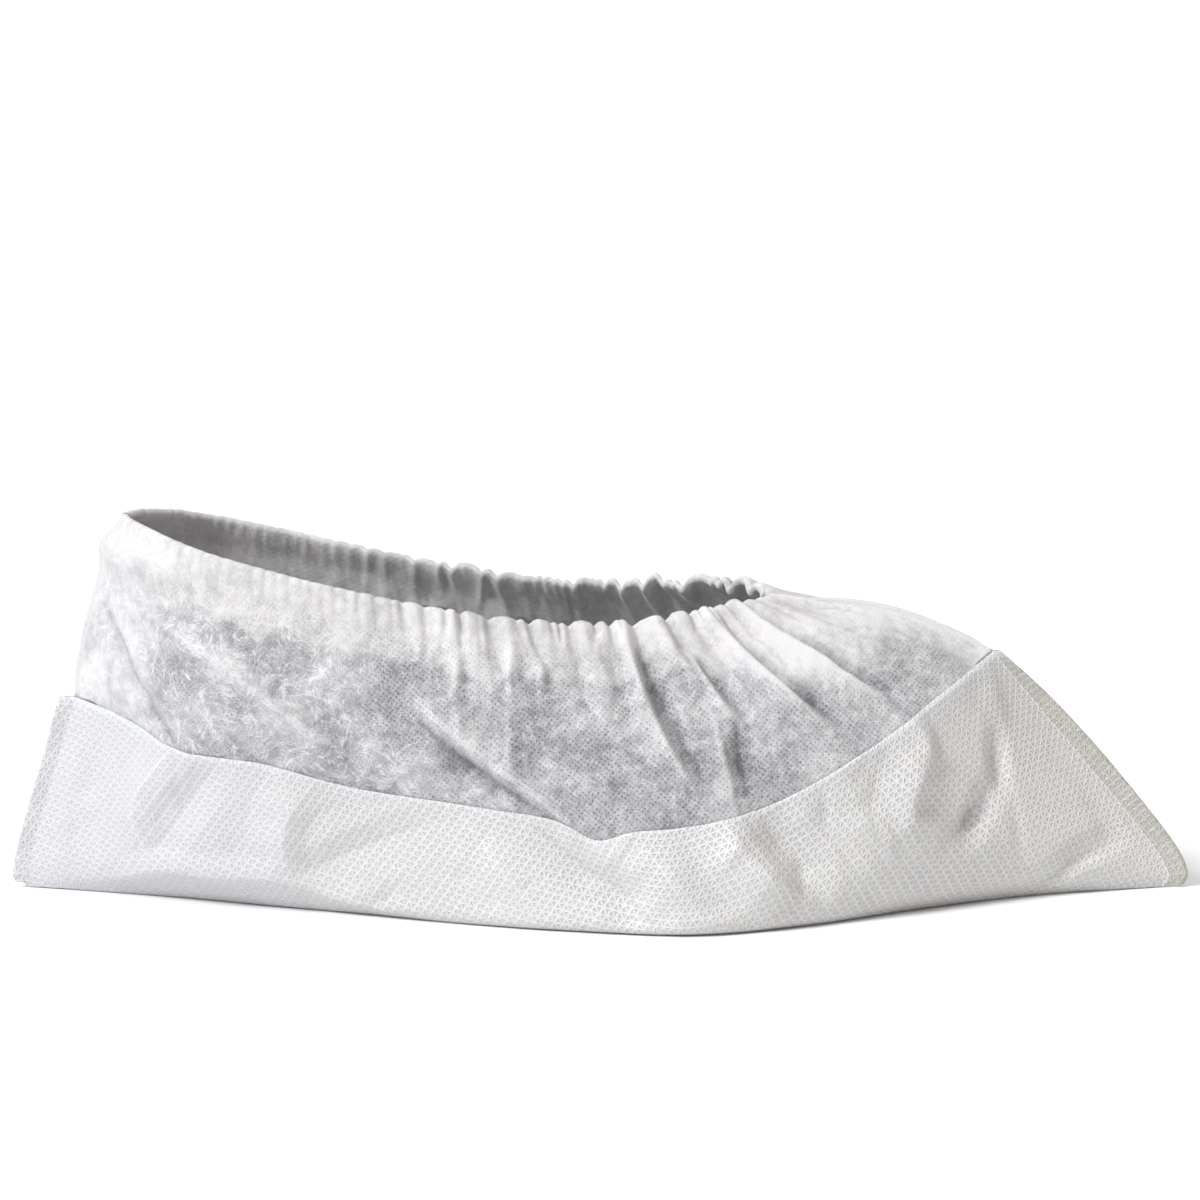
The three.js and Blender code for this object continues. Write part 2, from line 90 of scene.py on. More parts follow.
# One row for each whole t; left is what the left side's y is of the right side's.
SECTIONS = np.array(
    [
        (-171.5, 0, -171.3, 0, 11, -157, 0, 58.5, 1.5, -142, 0, 113, 1.0),
        (-150, 6, -147.5, 13, 15, -141, 15, 55, 2.5, -132, 20, 111, 1.0),
        (-124, 14, -123.5, 26, 14, -122, 31, 48, 3, -117, 32, 107, 1.0),
        (-98, 24, -98, 34, 13, -98, 39, 46, 4, -96, 38, 102, 0.98),
        (-70, 34, -70, 41, 12, -70, 43, 39.5, 4, -72, 40, 96.5, 0.93),
        (-40, 46, -40, 49, 11, -40, 48, 36, 4, -46, 41, 91.5, 0.88),
        (-8, 55, -8.3, 57, 10, -9, 56, 33, 4, -21, 40, 88, 0.88),
        (28, 60, 25, 62, 10, 18, 59, 31, 4, 2, 36, 86.5, 1.0),
        (62, 48, 57.5, 54, 12, 48, 52, 36, 4, 21, 31, 87.5, 1.05),
        (94, 29, 91, 39, 15, 78, 40, 50, 4, 37, 22, 89.5, 1.05),
        (130, 11, 126, 20, 17, 104, 20, 65.5, 4, 48, 11, 89.5, 1.0),
        (170.5, 0, 167.3, 0, 12.5, 118, 0, 72.5, 4.5, 52, 0, 88.5, 1.0),
    ],
    dtype=float,
)
COLUMN = {name: SECTIONS[:, i] for i, name in enumerate(SECTION_COLUMNS)}
LAST = len(SECTIONS) - 1
# At a seam each level ends in a sharp edge, 1, or goes round smoothly to the other side, 0.
PINCH = np.array([1, 1, 1, 0.6, 0])
SPINE_X = (-110, 60)  # the ends of the line inside the foot that the upper bulges away from
SWELL = {"rise": 2.6, "v": 3.7, "widthV": 0.2, "fullToT": 0.8, "goneFromT": 3}
# side, t, drop, widthT, widthV
EDGE_DIPS = [("right", 6.3, 4.5, 0.3, 0.5), ("left", 6.4, 3.0, 0.4, 0.5)]
SIGN = {"right": -1, "left": 1}


# ---------------------------------------------------------------- helpers
def smooth(x, low, high):
    """0 up to low, 1 from high on, and a soft step in between."""
    f = np.clip((np.asarray(x, float) - low) / (high - low), 0, 1)
    return f * f * (3 - 2 * f)


def unit(a):
    return a / np.maximum(np.linalg.norm(a, axis=-1, keepdims=True), 1e-9)


def lengths(points, axis=0):
    """Running length along one axis of an array of points."""
    steps = np.linalg.norm(np.diff(points, axis=axis), axis=-1)
    return np.insert(np.cumsum(steps, axis), 0, 0, axis)


def quads(grid):
    """The four corners of each cell in a grid of point numbers."""
    a, b, c, d = grid[:-1, :-1], grid[:-1, 1:], grid[1:, 1:], grid[1:, :-1]
    return np.stack([a, b, c, d], -1).reshape(-1, 4)


def between(at, i, j, fx, fy):
    """Between the values at four neighbouring cells (i, j), at the shares fx and fy of the way."""
    low = at(i, j) * (1 - fx) + at(i + 1, j) * fx
    high = at(i, j + 1) * (1 - fx) + at(i + 1, j + 1) * fx
    return low * (1 - fy) + high * fy


def catmull(a, b, c, d, f):
    """A Catmull-Rom curve's point at the share f of the way from b to c."""
    return 0.5 * (2 * b + (c - a) * f + (2 * a - 5 * b + 4 * c - d) * f**2 + (3 * b - a - 3 * c + d) * f**3)


def level_points(side):
    """(sections, 5 levels, 3) as the part's source has them."""
    c = COLUMN
    share = c["left"] if side == "left" else 1.0
    zero = np.zeros(LAST + 1)
    floor = np.stack([c["floorX"], c["floorY"] * share, zero], 1)
    bulge = np.stack([c["bulgeX"], c["bulgeY"] * share, c["bulgeZ"]], 1)
    edge = np.stack([c["edgeX"], c["edgeY"] * share, c["edgeZ"]], 1)
    mouth = np.stack([c["mouthX"], c["mouthY"] * share, c["mouthZ"]], 1)
    spine = np.stack([np.clip(c["edgeX"], *SPINE_X), zero, c["edgeZ"]], 1)
    outwards = unit(edge - spine)
    chord = unit(mouth - edge)
    crown = unit(outwards - chord * (outwards * chord).sum(1, keepdims=True))
    middle = (edge + mouth) / 2 + crown * c["crown"][:, None]
    return np.stack([floor, bulge, edge, middle, mouth], 1)


def beyond(end, following):
    """The levels' control points past a seam."""
    mirrored = following * [1, -1, 1]
    return mirrored + (2 * end - following - mirrored) * PINCH[:, None]


def with_ends(levels):
    first = beyond(levels[0], levels[1])
    last = beyond(levels[-1], levels[-2])
    return np.concatenate([first[None], levels, last[None]])


LEVELS = {side: with_ends(level_points(side)) for side in SIGN}


def smooth_surface(side, t, v):
    """The cloth without its folds: points (..., 3) for arrays t and v of one shape."""
    shape = np.shape(t)
    t, v = np.ravel(t).astype(float), np.ravel(v).astype(float)
    i = np.clip(np.floor(t).astype(int), 0, LAST - 1)
    f = (t - i)[:, None, None]
    e = LEVELS[side]
    floor, bulge, edge, middle, mouth = np.moveaxis(catmull(e[i], e[i + 1], e[i + 2], e[i + 3], f), 1, 0)
    underfoot = floor * [1, UNDERFOOT, 0]
    sheet = np.stack([underfoot, floor, bulge, edge, 2 * edge - bulge], 1)
    upper = np.stack([2 * edge - middle, edge, middle, mouth, 2 * mouth - middle], 1)
    on_sheet = v < EDGE_V
    row = np.where(on_sheet[:, None, None], sheet, upper)
    up = np.where(on_sheet, v, v - EDGE_V)
    k = np.clip(np.floor(up).astype(int), 0, 1)
    n = np.arange(len(t))
    found = catmull(row[n, k], row[n, k + 1], row[n, k + 2], row[n, k + 3], (up - k)[:, None])
    for at_side, at_t, drop, width_t, width_v in EDGE_DIPS:
        if at_side == side:
            near = ((t - at_t) / width_t) ** 2 + ((v - EDGE_V) / width_v) ** 2
            found[:, 2] -= drop * np.exp(-near)
    found[:, 2] = np.maximum(found[:, 2], 0)
    return found.reshape(*shape, 3)


def frame_at(side, t, v):
    """Unit vectors of the smooth surface: outwards and upwards."""
    ahead = smooth_surface(side, np.minimum(t + NUDGE, LAST), v)
    behind = smooth_surface(side, np.maximum(t - NUDGE, 0), v)
    above = smooth_surface(side, t, np.minimum(v + NUDGE, MOUTH_V))
    below = smooth_surface(side, t, np.maximum(v - NUDGE, 0))
    upwards = unit(above - below)
    return unit(np.cross(upwards, unit(ahead - behind))), upwards


# ---------------------------------------------------------------- folds
# Each fold runs down the cloth through a few points (t, v, rise): ridges rise above 0, valleys below.
# Before the points stand its half widths towards the heel and towards the toe, and its roundness,
# which is 0.05 for a crisp crease and 1 for a soft one.
FOLDS = {
    ("right", "sole"): [
        (13, 7, 0.08, [(7.62, 2.02, 0.6), (7.62, 1.65, 2.6), (7.8, 1.25, 3.0), (8.0, 0.85, 0.6)]),
        (6, 11, 0.1, [
            (7.95, 1.93, -0.5), (8.0, 1.58, -2.2), (8.15, 1.23, -2.2), (8.0, 0.85, -0.4),
        ]),
        (12, 6, 0.08, [
            (9.47, 2.0, 0.8), (9.53, 1.78, 2.2), (9.25, 1.6, 2.6), (9.12, 1.43, 2.4),
            (9.43, 1.18, 0.4),
        ]),
        (5, 8, 0.1, [(9.93, 1.45, -0.4), (9.65, 1.25, -1.8), (9.43, 1.18, -0.4)]),
        (5, 5, 0.06, [(10.28, 1.73, -0.4), (10.12, 1.55, -2.2), (10.0, 1.38, -0.4)]),
        (5, 5, 0.06, [(9.95, 1.43, -0.3), (9.73, 1.3, -1.8), (9.6, 1.2, -0.3)]),
        (7, 6, 0.1, [(10.83, 1.98, 0.2), (10.5, 1.83, 0.6), (10.28, 1.73, 0.3)]),
        (8, 4, 0.1, [(10.93, 1.6, -0.3), (10.9, 1.3, -1.4), (10.75, 1.03, -0.3)]),
        (7, 4, 0.1, [
            (11, 1.15, -0.3), (10.75, 1.05, -1.4), (10.35, 0.85, -1.4), (9.98, 0.18, -0.2),
        ]),
        (9, 9, 0.1, [(1.83, 1.98, 0.5), (1.43, 1.6, 2.2), (1.33, 1.35, 2.2), (1.55, 1.03, 0.4)]),
        (7, 9, 0.1, [(2.38, 1.93, -0.5), (2.02, 1.6, -2.4), (1.55, 1.03, -0.5)]),
        (12, 7, 0.08, [(3.53, 1.95, 0.5), (3.28, 1.65, 2.4), (3.18, 1.35, 2.4), (3.28, 0.98, 0.4)]),
        (6, 12, 0.1, [(4.8, 1.83, -0.3), (4.15, 1.5, -1.4), (3.7, 1.23, -1.6), (3.28, 0.98, -0.4)]),
        (6, 6, 0.15, [
            (0.65, 0.25, 0.2), (1.73, 0.93, 1.4), (2.38, 0.88, 1.6), (3.25, 0.98, 1.5),
            (4.55, 0.25, 1.0), (4.8, 0.05, 0.2),
        ]),
        (9, 7, 0.12, [
            (5.65, 1.88, -0.5), (6.03, 1.58, -2.2), (6.45, 1.23, -2.4), (6.68, 0.55, -0.4),
        ]),
        (12, 14, 0.15, [(5.0, 1.9, 0.3), (5.35, 1.4, 1.6), (5.7, 0.8, 0.4)]),
        (12, 12, 0.2, [(6.7, 1.9, 0.3), (6.95, 1.4, 1.5), (7.1, 0.6, 0.3)]),
        (10, 9, 0.15, [(8.75, 1.95, 0.3), (8.75, 1.5, 1.4), (8.9, 0.9, 0.3)]),
        (8, 8, 0.12, [(0.75, 1.9, -0.3), (0.6, 1.4, -1.4), (0.8, 0.8, -0.3)]),
    ],
    ("right", "upper"): [
        (5, 3.2, 0.3, [
            (7.35, 3.75, -0.8), (7.45, 3.33, -2.0), (7.5, 2.9, -1.8), (7.6, 2.5, -1.0),
            (7.53, 2.3, -0.2),
        ]),
        (6, 3, 0.25, [(7.2, 3.9, 0.6), (7.22, 3.33, 1.6), (7.35, 2.6, 1.2), (7.5, 2.15, 0.2)]),
        (3.5, 3, 0.3, [(7.85, 3.95, -0.9), (8.15, 3.38, -2.4), (8.28, 2.88, -0.5)]),
        (3.5, 3, 0.3, [(8.75, 3.8, -0.5), (8.83, 3.3, -2.2), (8.95, 2.75, -2.2), (9.0, 2.4, -0.3)]),
        (3.5, 3, 0.3, [
            (9.36, 3.7, -0.5), (9.5, 3.08, -2.0), (9.54, 2.6, -1.8), (9.62, 2.27, -0.3),
        ]),
        (3, 6, 0.3, [(8.15, 2.85, -0.3), (8.02, 2.5, -1.8), (7.92, 2.15, -0.5)]),
        (5, 2.6, 0.25, [(7.95, 2.95, 0.4), (7.85, 2.6, 1.5), (7.79, 2.3, 1.2), (7.73, 2.04, 0.3)]),
        (6, 3.2, 0.25, [(7.8, 4.0, 1.0), (8.05, 3.5, 2.2), (8.1, 3.0, 1.8), (8.2, 2.75, 0.4)]),
        (7, 3.2, 0.25, [(8.62, 4.0, 0.8), (8.7, 3.45, 1.9), (8.79, 2.9, 2.0), (8.9, 2.4, 0.3)]),
        (6, 3.2, 0.25, [(9.2, 3.95, 0.6), (9.35, 3.2, 1.9), (9.38, 2.7, 1.7), (9.48, 2.33, 0.3)]),
        (6, 6, 0.3, [
            (4.62, 3.2, 0.3), (4.75, 2.95, 2.2), (5.12, 2.73, 3.0), (5.58, 2.4, 2.6),
            (5.95, 2.05, 1.0),
        ]),
        (5, 4, 0.3, [(4.6, 2.9, -0.3), (5.0, 2.48, -1.9), (5.42, 2.22, -1.6), (5.8, 2.04, -0.4)]),
        (5, 5, 0.3, [(5.05, 3.18, 0.3), (5.05, 2.83, 1.4), (5.5, 2.43, 0.3)]),
        (5, 4, 0.3, [(5.62, 3.18, 0.3), (5.53, 2.6, 1.2), (5.58, 2.4, 0.2)]),
        (4, 4, 0.3, [(5.2, 3.75, 0.4), (5.12, 3.45, 1.4), (5.05, 3.18, 0.3)]),
        (4, 4, 0.3, [(5.75, 3.73, 0.4), (5.68, 3.45, 1.4), (5.62, 3.18, 0.3)]),
        (4, 4, 0.3, [(6.1, 3.7, 0.4), (6.05, 3.5, 1.3), (5.98, 3.3, 0.3)]),
        (8, 6, 0.5, [
            (0.1, 3.38, 0.3), (1.62, 3.23, 1.7), (2.4, 3.08, 1.8), (3.0, 2.75, 1.6),
            (3.6, 2.45, 0.3),
        ]),
        (5, 5, 0.4, [(0.3, 3.36, -0.2), (1.07, 3.3, -0.9), (2.02, 3.12, -0.3)]),
        (5, 5, 0.3, [(0.15, 3.2, -0.3), (0.73, 2.83, -1.6), (1.3, 2.33, -1.4), (1.9, 2.02, -0.2)]),
    ],
    ("left", "sole"): [
        (10, 8, 0.1, [(2.4, 2.0, -0.4), (2.0, 1.5, -2.2), (1.6, 0.9, -0.4)]),
        (12, 7, 0.08, [(4.4, 2.0, 0.5), (3.7, 1.45, 2.4), (3.0, 0.8, 0.4)]),
        (7, 10, 0.1, [(5.1, 1.9, -0.4), (4.6, 1.4, -1.9), (4.0, 0.9, -0.4)]),
        (8, 8, 0.12, [(6.2, 1.9, -0.4), (6.5, 1.3, -2.2), (6.9, 0.6, -0.4)]),
        (12, 7, 0.08, [(7.9, 2.0, 0.6), (8.1, 1.45, 2.6), (8.4, 0.8, 0.5)]),
        (6, 10, 0.1, [(8.6, 1.95, -0.4), (8.7, 1.4, -2.0), (8.6, 0.8, -0.4)]),
        (8, 6, 0.1, [(9.6, 1.9, -0.4), (9.6, 1.4, -2.0), (9.4, 0.8, -0.4)]),
        (6, 5, 0.08, [(10.5, 1.8, 0.3), (10.2, 1.4, 1.7), (10.3, 1.0, 0.3)]),
        (8, 8, 0.12, [(0.9, 1.9, 0.3), (0.7, 1.4, 1.6), (0.9, 0.8, 0.3)]),
        (6, 6, 0.15, [
            (0.9, 0.4, 0.2), (2.0, 0.9, 1.3), (3.2, 0.8, 1.4), (4.6, 0.5, 1.0), (5.4, 0.1, 0.2),
        ]),
    ],
    ("left", "upper"): [
        (7, 6, 0.5, [(0.2, 3.3, 0.3), (1.1, 2.9, 1.9), (2.0, 2.3, 0.3)]),
        (6, 6, 0.4, [(2.6, 3.4, 0.3), (3.4, 2.8, 2.0), (4.2, 2.2, 0.3)]),
        (6, 5, 0.3, [(5.0, 3.4, 0.4), (5.6, 2.7, 2.4), (6.2, 2.05, 0.6)]),
        (5, 4, 0.3, [(4.7, 3.1, -0.3), (5.2, 2.6, -1.5), (5.8, 2.1, -0.4)]),
        (5, 3.5, 0.3, [(6.9, 3.8, 0.5), (7.1, 2.9, 1.6), (7.2, 2.2, 0.3)]),
        (5, 3.5, 0.3, [(8.2, 3.7, 0.5), (8.4, 2.9, 1.7), (8.5, 2.15, 0.3)]),
        (5, 3.5, 0.3, [(9.2, 3.7, 0.5), (9.4, 2.9, 1.5), (9.5, 2.2, 0.3)]),
        (3.5, 3.5, 0.3, [(7.6, 3.8, -0.4), (7.8, 3.0, -1.5), (7.8, 2.3, -0.3)]),
        (3.5, 3.5, 0.3, [(8.8, 3.8, -0.4), (9.0, 3.0, -1.4), (9.1, 2.4, -0.3)]),
    ],
}
STEPS_PER_LEG = 5
LINE_WIDTH = 0.9  # half the width of the painted line along a crease: lighter on a ridge, darker in a valley
CRISP = 0.2  # a fold with less roundness has straight flanks
SOFT_FOOT = 1.35  # how much the flanks of the others run out at their feet
MOUTH_TS = np.linspace(0, LAST, 800)


def mouth_lengths(side):
    """Running length along the mouth at MOUTH_TS."""
    return lengths(smooth_surface(side, MOUTH_TS, np.full_like(MOUTH_TS, MOUTH_V)))


FRONT_T = (3.4, 5.6)  # from where the gathers grow, to where they are full
BIG_SHARE = 0.45  # of the gathers in front
# Ranges for the gathers behind, and for the big and the small ones in front.
PITCH = {"behind": (2.6, 5.5), "big": (5.5, 11), "small": (2.4, 5)}
STEEP = {"behind": (0.03, 0.08), "big": (0.12, 0.26), "small": (0.12, 0.26)}  # rise per pitch
LENGTH_V = {"behind": (0.15, 0.5), "big": (0.7, 1.7), "small": (0.2, 0.7)}
# Ranges for all of them: how far one drifts in t on its way down, its roundness, the share of its
# width that lies towards the heel, and how full it is.
DRIFT, ROUNDNESS, LEAN, PUFF = (-0.16, 0.2), (0.25, 1.0), (0.32, 0.68), (0.5, 1.1)
RIDGE_WIDTH = 1.2  # of the pitch
VALLEY = (0.26, 0.2, 0.15)  # half widths as shares of the pitch, and roundness
VALLEY_DEPTH = 0.8  # of the ridge's rise
# On the way down: the share of the drift and of the length, and the range of the rise that is left.
GATHER_PATH = [(0.15, 0.3, (0.75, 1.0)), (0.6, 0.65, (0.3, 0.7))]
GATHER_SPREAD = 0.8  # how much wider a gather is at its lower end


def gather_folds(side, seed):
    """What the elastic draws into the upper: uneven puffs at the mouth, with narrow valleys between."""
    rng = np.random.default_rng(seed)
    mouth_length = mouth_lengths(side)
    made, s = [], 1.0
    while s < mouth_length[-1] - 2.0:
        t = float(np.interp(s, mouth_length, MOUTH_TS))
        front = float(smooth(t, *FRONT_T))
        ahead = "big" if rng.uniform() < BIG_SHARE else "small"
        pitch, steep, length = (
            (1 - front) * rng.uniform(*ranges["behind"]) + front * rng.uniform(*ranges[ahead])
            for ranges in (PITCH, STEEP, LENGTH_V)
        )
        drift = rng.uniform(*DRIFT) * (0.3 + front)
        roundness, lean, puff = rng.uniform(*ROUNDNESS), rng.uniform(*LEAN), rng.uniform(*PUFF)
        next_t = float(np.interp(s + pitch / 2, mouth_length, MOUTH_TS))
        valley = (t, *VALLEY, -VALLEY_DEPTH * pitch * steep)
        ridge = (next_t, RIDGE_WIDTH * lean, RIDGE_WIDTH * (1 - lean), roundness, pitch * steep * puff)
        for at, heel, toe, crisp, rise in (valley, ridge):
            path = [(at, MOUTH_V, rise)]
            for drifted, down, left in GATHER_PATH:
                path.append((at + drift * drifted, MOUTH_V - length * down, rise * rng.uniform(*left)))
            path.append((at + drift, MOUTH_V - length, 0.0))
            made.append((heel * pitch, toe * pitch, crisp, path, GATHER_SPREAD))
        s += pitch
    return made


CREASE_T = (0.2, 10.8)
CREASE_LENGTH = (8, 26)
LENGTH_PER_STEP = 28.0  # about how long a step of 1 in t or v is
NARROWER = (0.6, 1.0)  # a crease's half width towards the toe, as a share of the other


def crease_folds(seed, count, v_range, width, rise, roundness):
    """Small straight creases strewn over the cloth."""
    rng = np.random.default_rng(seed)
    made = []
    for _ in range(count):
        t, v = rng.uniform(*CREASE_T), rng.uniform(*v_range)
        turn = rng.uniform(0, math.pi)
        run = rng.uniform(*CREASE_LENGTH) / LENGTH_PER_STEP
        dt, dv = run * math.cos(turn) / 2, -abs(run * math.sin(turn)) / 2
        height = rng.uniform(*rise) * rng.choice([-1, 1])
        across = rng.uniform(*width)
        path = [(t - dt, v - dv, 0.0), (t, v, height), (t + dt, v + dv, 0.0)]
        made.append((across, across * rng.uniform(*NARROWER), roundness, path))
    return made


def rounded_off(values):
    """A run of values with its kinks rounded off and its ends kept."""
    padded = np.concatenate([[values[0]] * 2, values, [values[-1]] * 2])
    soft = np.convolve(padded, [0.1, 0.2, 0.4, 0.2, 0.1], "valid")
    soft[0], soft[-1] = values[0], values[-1]
    return soft


def fold_field(side, folds, points, outwards):
    """How far the folds lift each point of the smooth surface, in millimetres, and where their lines run:
    towards 1 on a ridge and -1 in a valley. The lines are painted, lighter on ridges and darker in valleys."""
    lift, lines = np.zeros(len(points)), np.zeros(len(points))
    for heel, toe, roundness, path, *spread in folds:
        ts, vs, rises = np.array(path, float).T
        legs = np.linspace(0, len(path) - 1, (len(path) - 1) * STEPS_PER_LEG + 1)
        knots = np.arange(len(path))
        t = np.clip(rounded_off(np.interp(legs, knots, ts)), 0, LAST)
        v = np.clip(rounded_off(np.interp(legs, knots, vs)), 0, MOUTH_V)
        line = smooth_surface(side, t, v)
        height = np.interp(legs, knots, rises)
        wider = 1 + np.linspace(0, spread[0] if spread else 0, len(legs))
        widest = max(heel, toe) * wider[-1]
        near = np.all((points > line.min(0) - widest) & (points < line.max(0) + widest), axis=1)
        if not near.any():
            continue
        p, n = points[near], outwards[near]
        best = np.full(len(p), 1e9)
        signed = np.zeros(len(p))
        rise = np.zeros(len(p))
        spreading = np.ones(len(p))
        for a, b, ha, hb, wa in zip(line[:-1], line[1:], height[:-1], height[1:], wider):
            run = b - a
            share = np.clip((p - a) @ run / max(run @ run, 1e-9), 0, 1)
            off = p - a - share[:, None] * run
            distance = np.linalg.norm(off, axis=1)
            closer = distance < best
            toewards = -np.einsum("ij,ij->i", np.cross(run, p - a), n)
            best = np.where(closer, distance, best)
            signed = np.where(closer, np.sign(toewards), signed)
            rise = np.where(closer, ha + (hb - ha) * share, rise)
            spreading = np.where(closer, wa, spreading)
        x = best / (np.where(signed > 0, toe, heel) * spreading)
        rounded = (np.sqrt(x**2 + roundness**2) - roundness) / (math.sqrt(1 + roundness**2) - roundness)
        foot = 1.0 if roundness < CRISP else SOFT_FOOT
        lift[near] += rise * np.clip(1 - rounded, 0, 1) ** foot
        lines[near] += np.clip(rise, -1, 1) * np.exp(-((best / LINE_WIDTH) ** 2))
    return lift, np.clip(lines, -1, 1)


NOISE_SIZE = 64


def value_noise(x, y, seed):
    """Smooth random values from -1 to 1 over a plane of cells with sides of 1."""
    table = np.random.default_rng(seed).uniform(-1, 1, (NOISE_SIZE, NOISE_SIZE))
    i, j = np.floor(x).astype(int), np.floor(y).astype(int)

    def at(row, column):
        return table[row % NOISE_SIZE, column % NOISE_SIZE]

    return between(at, i, j, smooth(x - i, 0, 1), smooth(y - j, 0, 1))


GROWTH = 1.55  # the folds' rises in the table, made this much higher
HEEL_GROWTH = 1.15  # the sole cover is smoother in its heel half
HEEL_HALF_T = 5.5
CREASES = {
    "sole": {"count": 70, "v_range": (0.5, 1.95), "width": (2.5, 6), "rise": (0.2, 0.7), "roundness": 0.08},
    "upper": {"count": 80, "v_range": (2.15, 3.6), "width": (2, 5), "rise": (0.15, 0.6), "roundness": 0.3},
}
SEEDS = {"sole": 100, "upper": 200, "gather": 300}


def grown(on, path):
    """A fold's points from the table with their rises made higher."""
    growth = HEEL_GROWTH if on == "sole" and path[0][0] < HEEL_HALF_T else GROWTH
    return [(t, v, rise * growth) for t, v, rise in path]


ALL_FOLDS = {}
for number, side in enumerate(SIGN):
    for on, creases in CREASES.items():
        named = [(heel, toe, roundness, grown(on, path)) for heel, toe, roundness, path in FOLDS[side, on]]
        ALL_FOLDS[side, on] = named + crease_folds(SEEDS[on] + number, **creases)
    ALL_FOLDS[side, "gather"] = gather_folds(side, SEEDS["gather"] + number)


def from_seam(t):
    return np.minimum(t, LAST - t)


def away_from_seams(t):
    return smooth(t, 0, SEAM_FADE_T) * (1 - smooth(t, LAST - SEAM_FADE_T, LAST))


# height, cell, seed
CRINKLES = [(0.28, 5.5, 7), (0.14, 2.6, 8)]
# height, cell along the mouth, cells in a step of v, seed
PUCKERS = [(0.45, 2.1, 2.8, 9), (0.25, 1.2, 4, 11)]
PUCKERED_V = (3.1, 3.9)
PUCKERED_T = (2.5, 5.5)  # behind this the puckers have only CALM of their height
CALM = 0.35


def crinkles(flat, shape):
    """Fine crinkles all over the upper, in millimetres."""
    x, z = flat[:, 0], flat[:, 2] + flat[:, 1] * 0.3
    depth = np.zeros_like(x)
    for height, cell, seed in CRINKLES:
        depth += height * value_noise(x / cell, z / cell, seed)
    return depth.reshape(shape)


def puckers(side, t, v):
    """Fine puckers beside the elastic, in millimetres."""
    along = np.interp(t, MOUTH_TS, mouth_lengths(side))
    depth = np.zeros_like(v)
    for height, cell, cells, seed in PUCKERS:
        depth += height * value_noise(along / cell, v * cells, seed)
    return depth * smooth(v, *PUCKERED_V) * (CALM + (1 - CALM) * smooth(t, *PUCKERED_T))


def heel_swell(t, v):
    """How far the cloth swells out just below the elastic at the heel, in millimetres."""
    swell = SWELL["rise"] * np.exp(-(((v - SWELL["v"]) / SWELL["widthV"]) ** 2))
    return swell * (1 - smooth(t, SWELL["fullToT"], SWELL["goneFromT"]))


GATHER_V = (2.9, 3.2)  # from where the gathers rise, to where they are full
GATHER_T = (0, 0.12)  # and the same beside a seam
SOLE_FOLDS_V = (2.0, 2.35)  # over which the sole's folds end
UPPER_FOLDS_V = (1.95, 2.2)  # over which the upper's folds begin
CRINKLE_V = (2.15, 2.5)
SOLE_LINES_T = (0.9, 1.5)  # over which the sole's painted crease lines begin
GATHER_LINES = 0.5  # how strong the gathers' painted lines are
FULL_FOLD = 2.2  # the lift that counts as a full fold
PUFF_V = (3.5, 4.0)  # over which a gather also stands up, by PUFF_UP of its lift
PUFF_UP = 0.6


class Cloth:
    """The cloth's places and directions at arrays (t, v): points, normals and how far folds lift it."""

    def __init__(self, side, t, v):
        self.v = v
        self.base = smooth_surface(side, t, v)
        self.outwards, self.upwards = frame_at(side, t, v)
        flat, normals = self.base.reshape(-1, 3), self.outwards.reshape(-1, 3)
        fields, lines = {}, {}
        for on in SEEDS:
            lift, line = fold_field(side, ALL_FOLDS[side, on], flat, normals)
            fields[on], lines[on] = lift.reshape(t.shape), line.reshape(t.shape)
        seams = away_from_seams(t)
        on_sole = 1 - smooth(v, *SOLE_FOLDS_V)
        self.gathers = fields["gather"] * smooth(v, *GATHER_V) * smooth(from_seam(t), *GATHER_T)
        self.lift = (
            fields["sole"] * seams * on_sole * smooth(v, *FLOOR_FADE_V)
            + fields["upper"] * seams * smooth(v, *UPPER_FOLDS_V)
            + self.gathers
            + puckers(side, t, v)
            + crinkles(flat, t.shape) * seams * smooth(v, *CRINKLE_V)
            + heel_swell(t, v)
        )
        # the crease lines, which the materials paint lighter on ridges and darker in valleys
        on_upper = lines["upper"] + GATHER_LINES * lines["gather"]
        self.lines = np.where(v > EDGE_V, on_upper, lines["sole"] * smooth(t, *SOLE_LINES_T)) * seams
        # how far the folds stand out on the upper, for its painted lighter ridges and darker valleys
        self.fold_shade = np.clip((fields["upper"] * seams + self.gathers) / FULL_FOLD, -1, 1)

    def at(self, depth):
        """The points this deep behind the cloth's outside."""
        p = self.base + self.outwards * (self.lift - depth)[..., None]
        p[..., 2] += self.gathers * PUFF_UP * smooth(self.v, *PUFF_V)
        p[..., 2] = np.maximum(p[..., 2], 0)
        return p


# ---------------------------------------------------------------- meshes
def make_mesh(name, points, faces, uv, values, material):
    """One smooth object from points in millimetres. uv and values belong to the points."""
    tidy = []
    for face in faces:
        face = [int(i) for k, i in enumerate(face) if i != face[k - 1]]
        if len(face) > 2:
            tidy.append(face)
    mesh = bpy.data.meshes.new(name)
    mesh.from_pydata((np.asarray(points) * MM).tolist(), [], tidy)
    layer = mesh.uv_layers.new(name="cloth")
    corner = np.zeros(len(mesh.loops), int)
    mesh.loops.foreach_get("vertex_index", corner)
    layer.data.foreach_set("uv", (np.asarray(uv)[corner] / UV_MM).ravel())
    for key, value in values.items():
        attribute = mesh.attributes.new(key, "FLOAT", "POINT")
        attribute.data.foreach_set("value", np.asarray(value, float))
    work = bmesh.new()
    work.from_mesh(mesh)
    bmesh.ops.recalc_face_normals(work, faces=work.faces)
    work.to_mesh(mesh)
    work.free()
    mesh.polygons.foreach_set("use_smooth", [True] * len(mesh.polygons))
    mesh.materials.append(material)
    mesh.update()
    made = bpy.data.objects.new(name, mesh)
    bpy.context.scene.collection.objects.link(made)
    return made


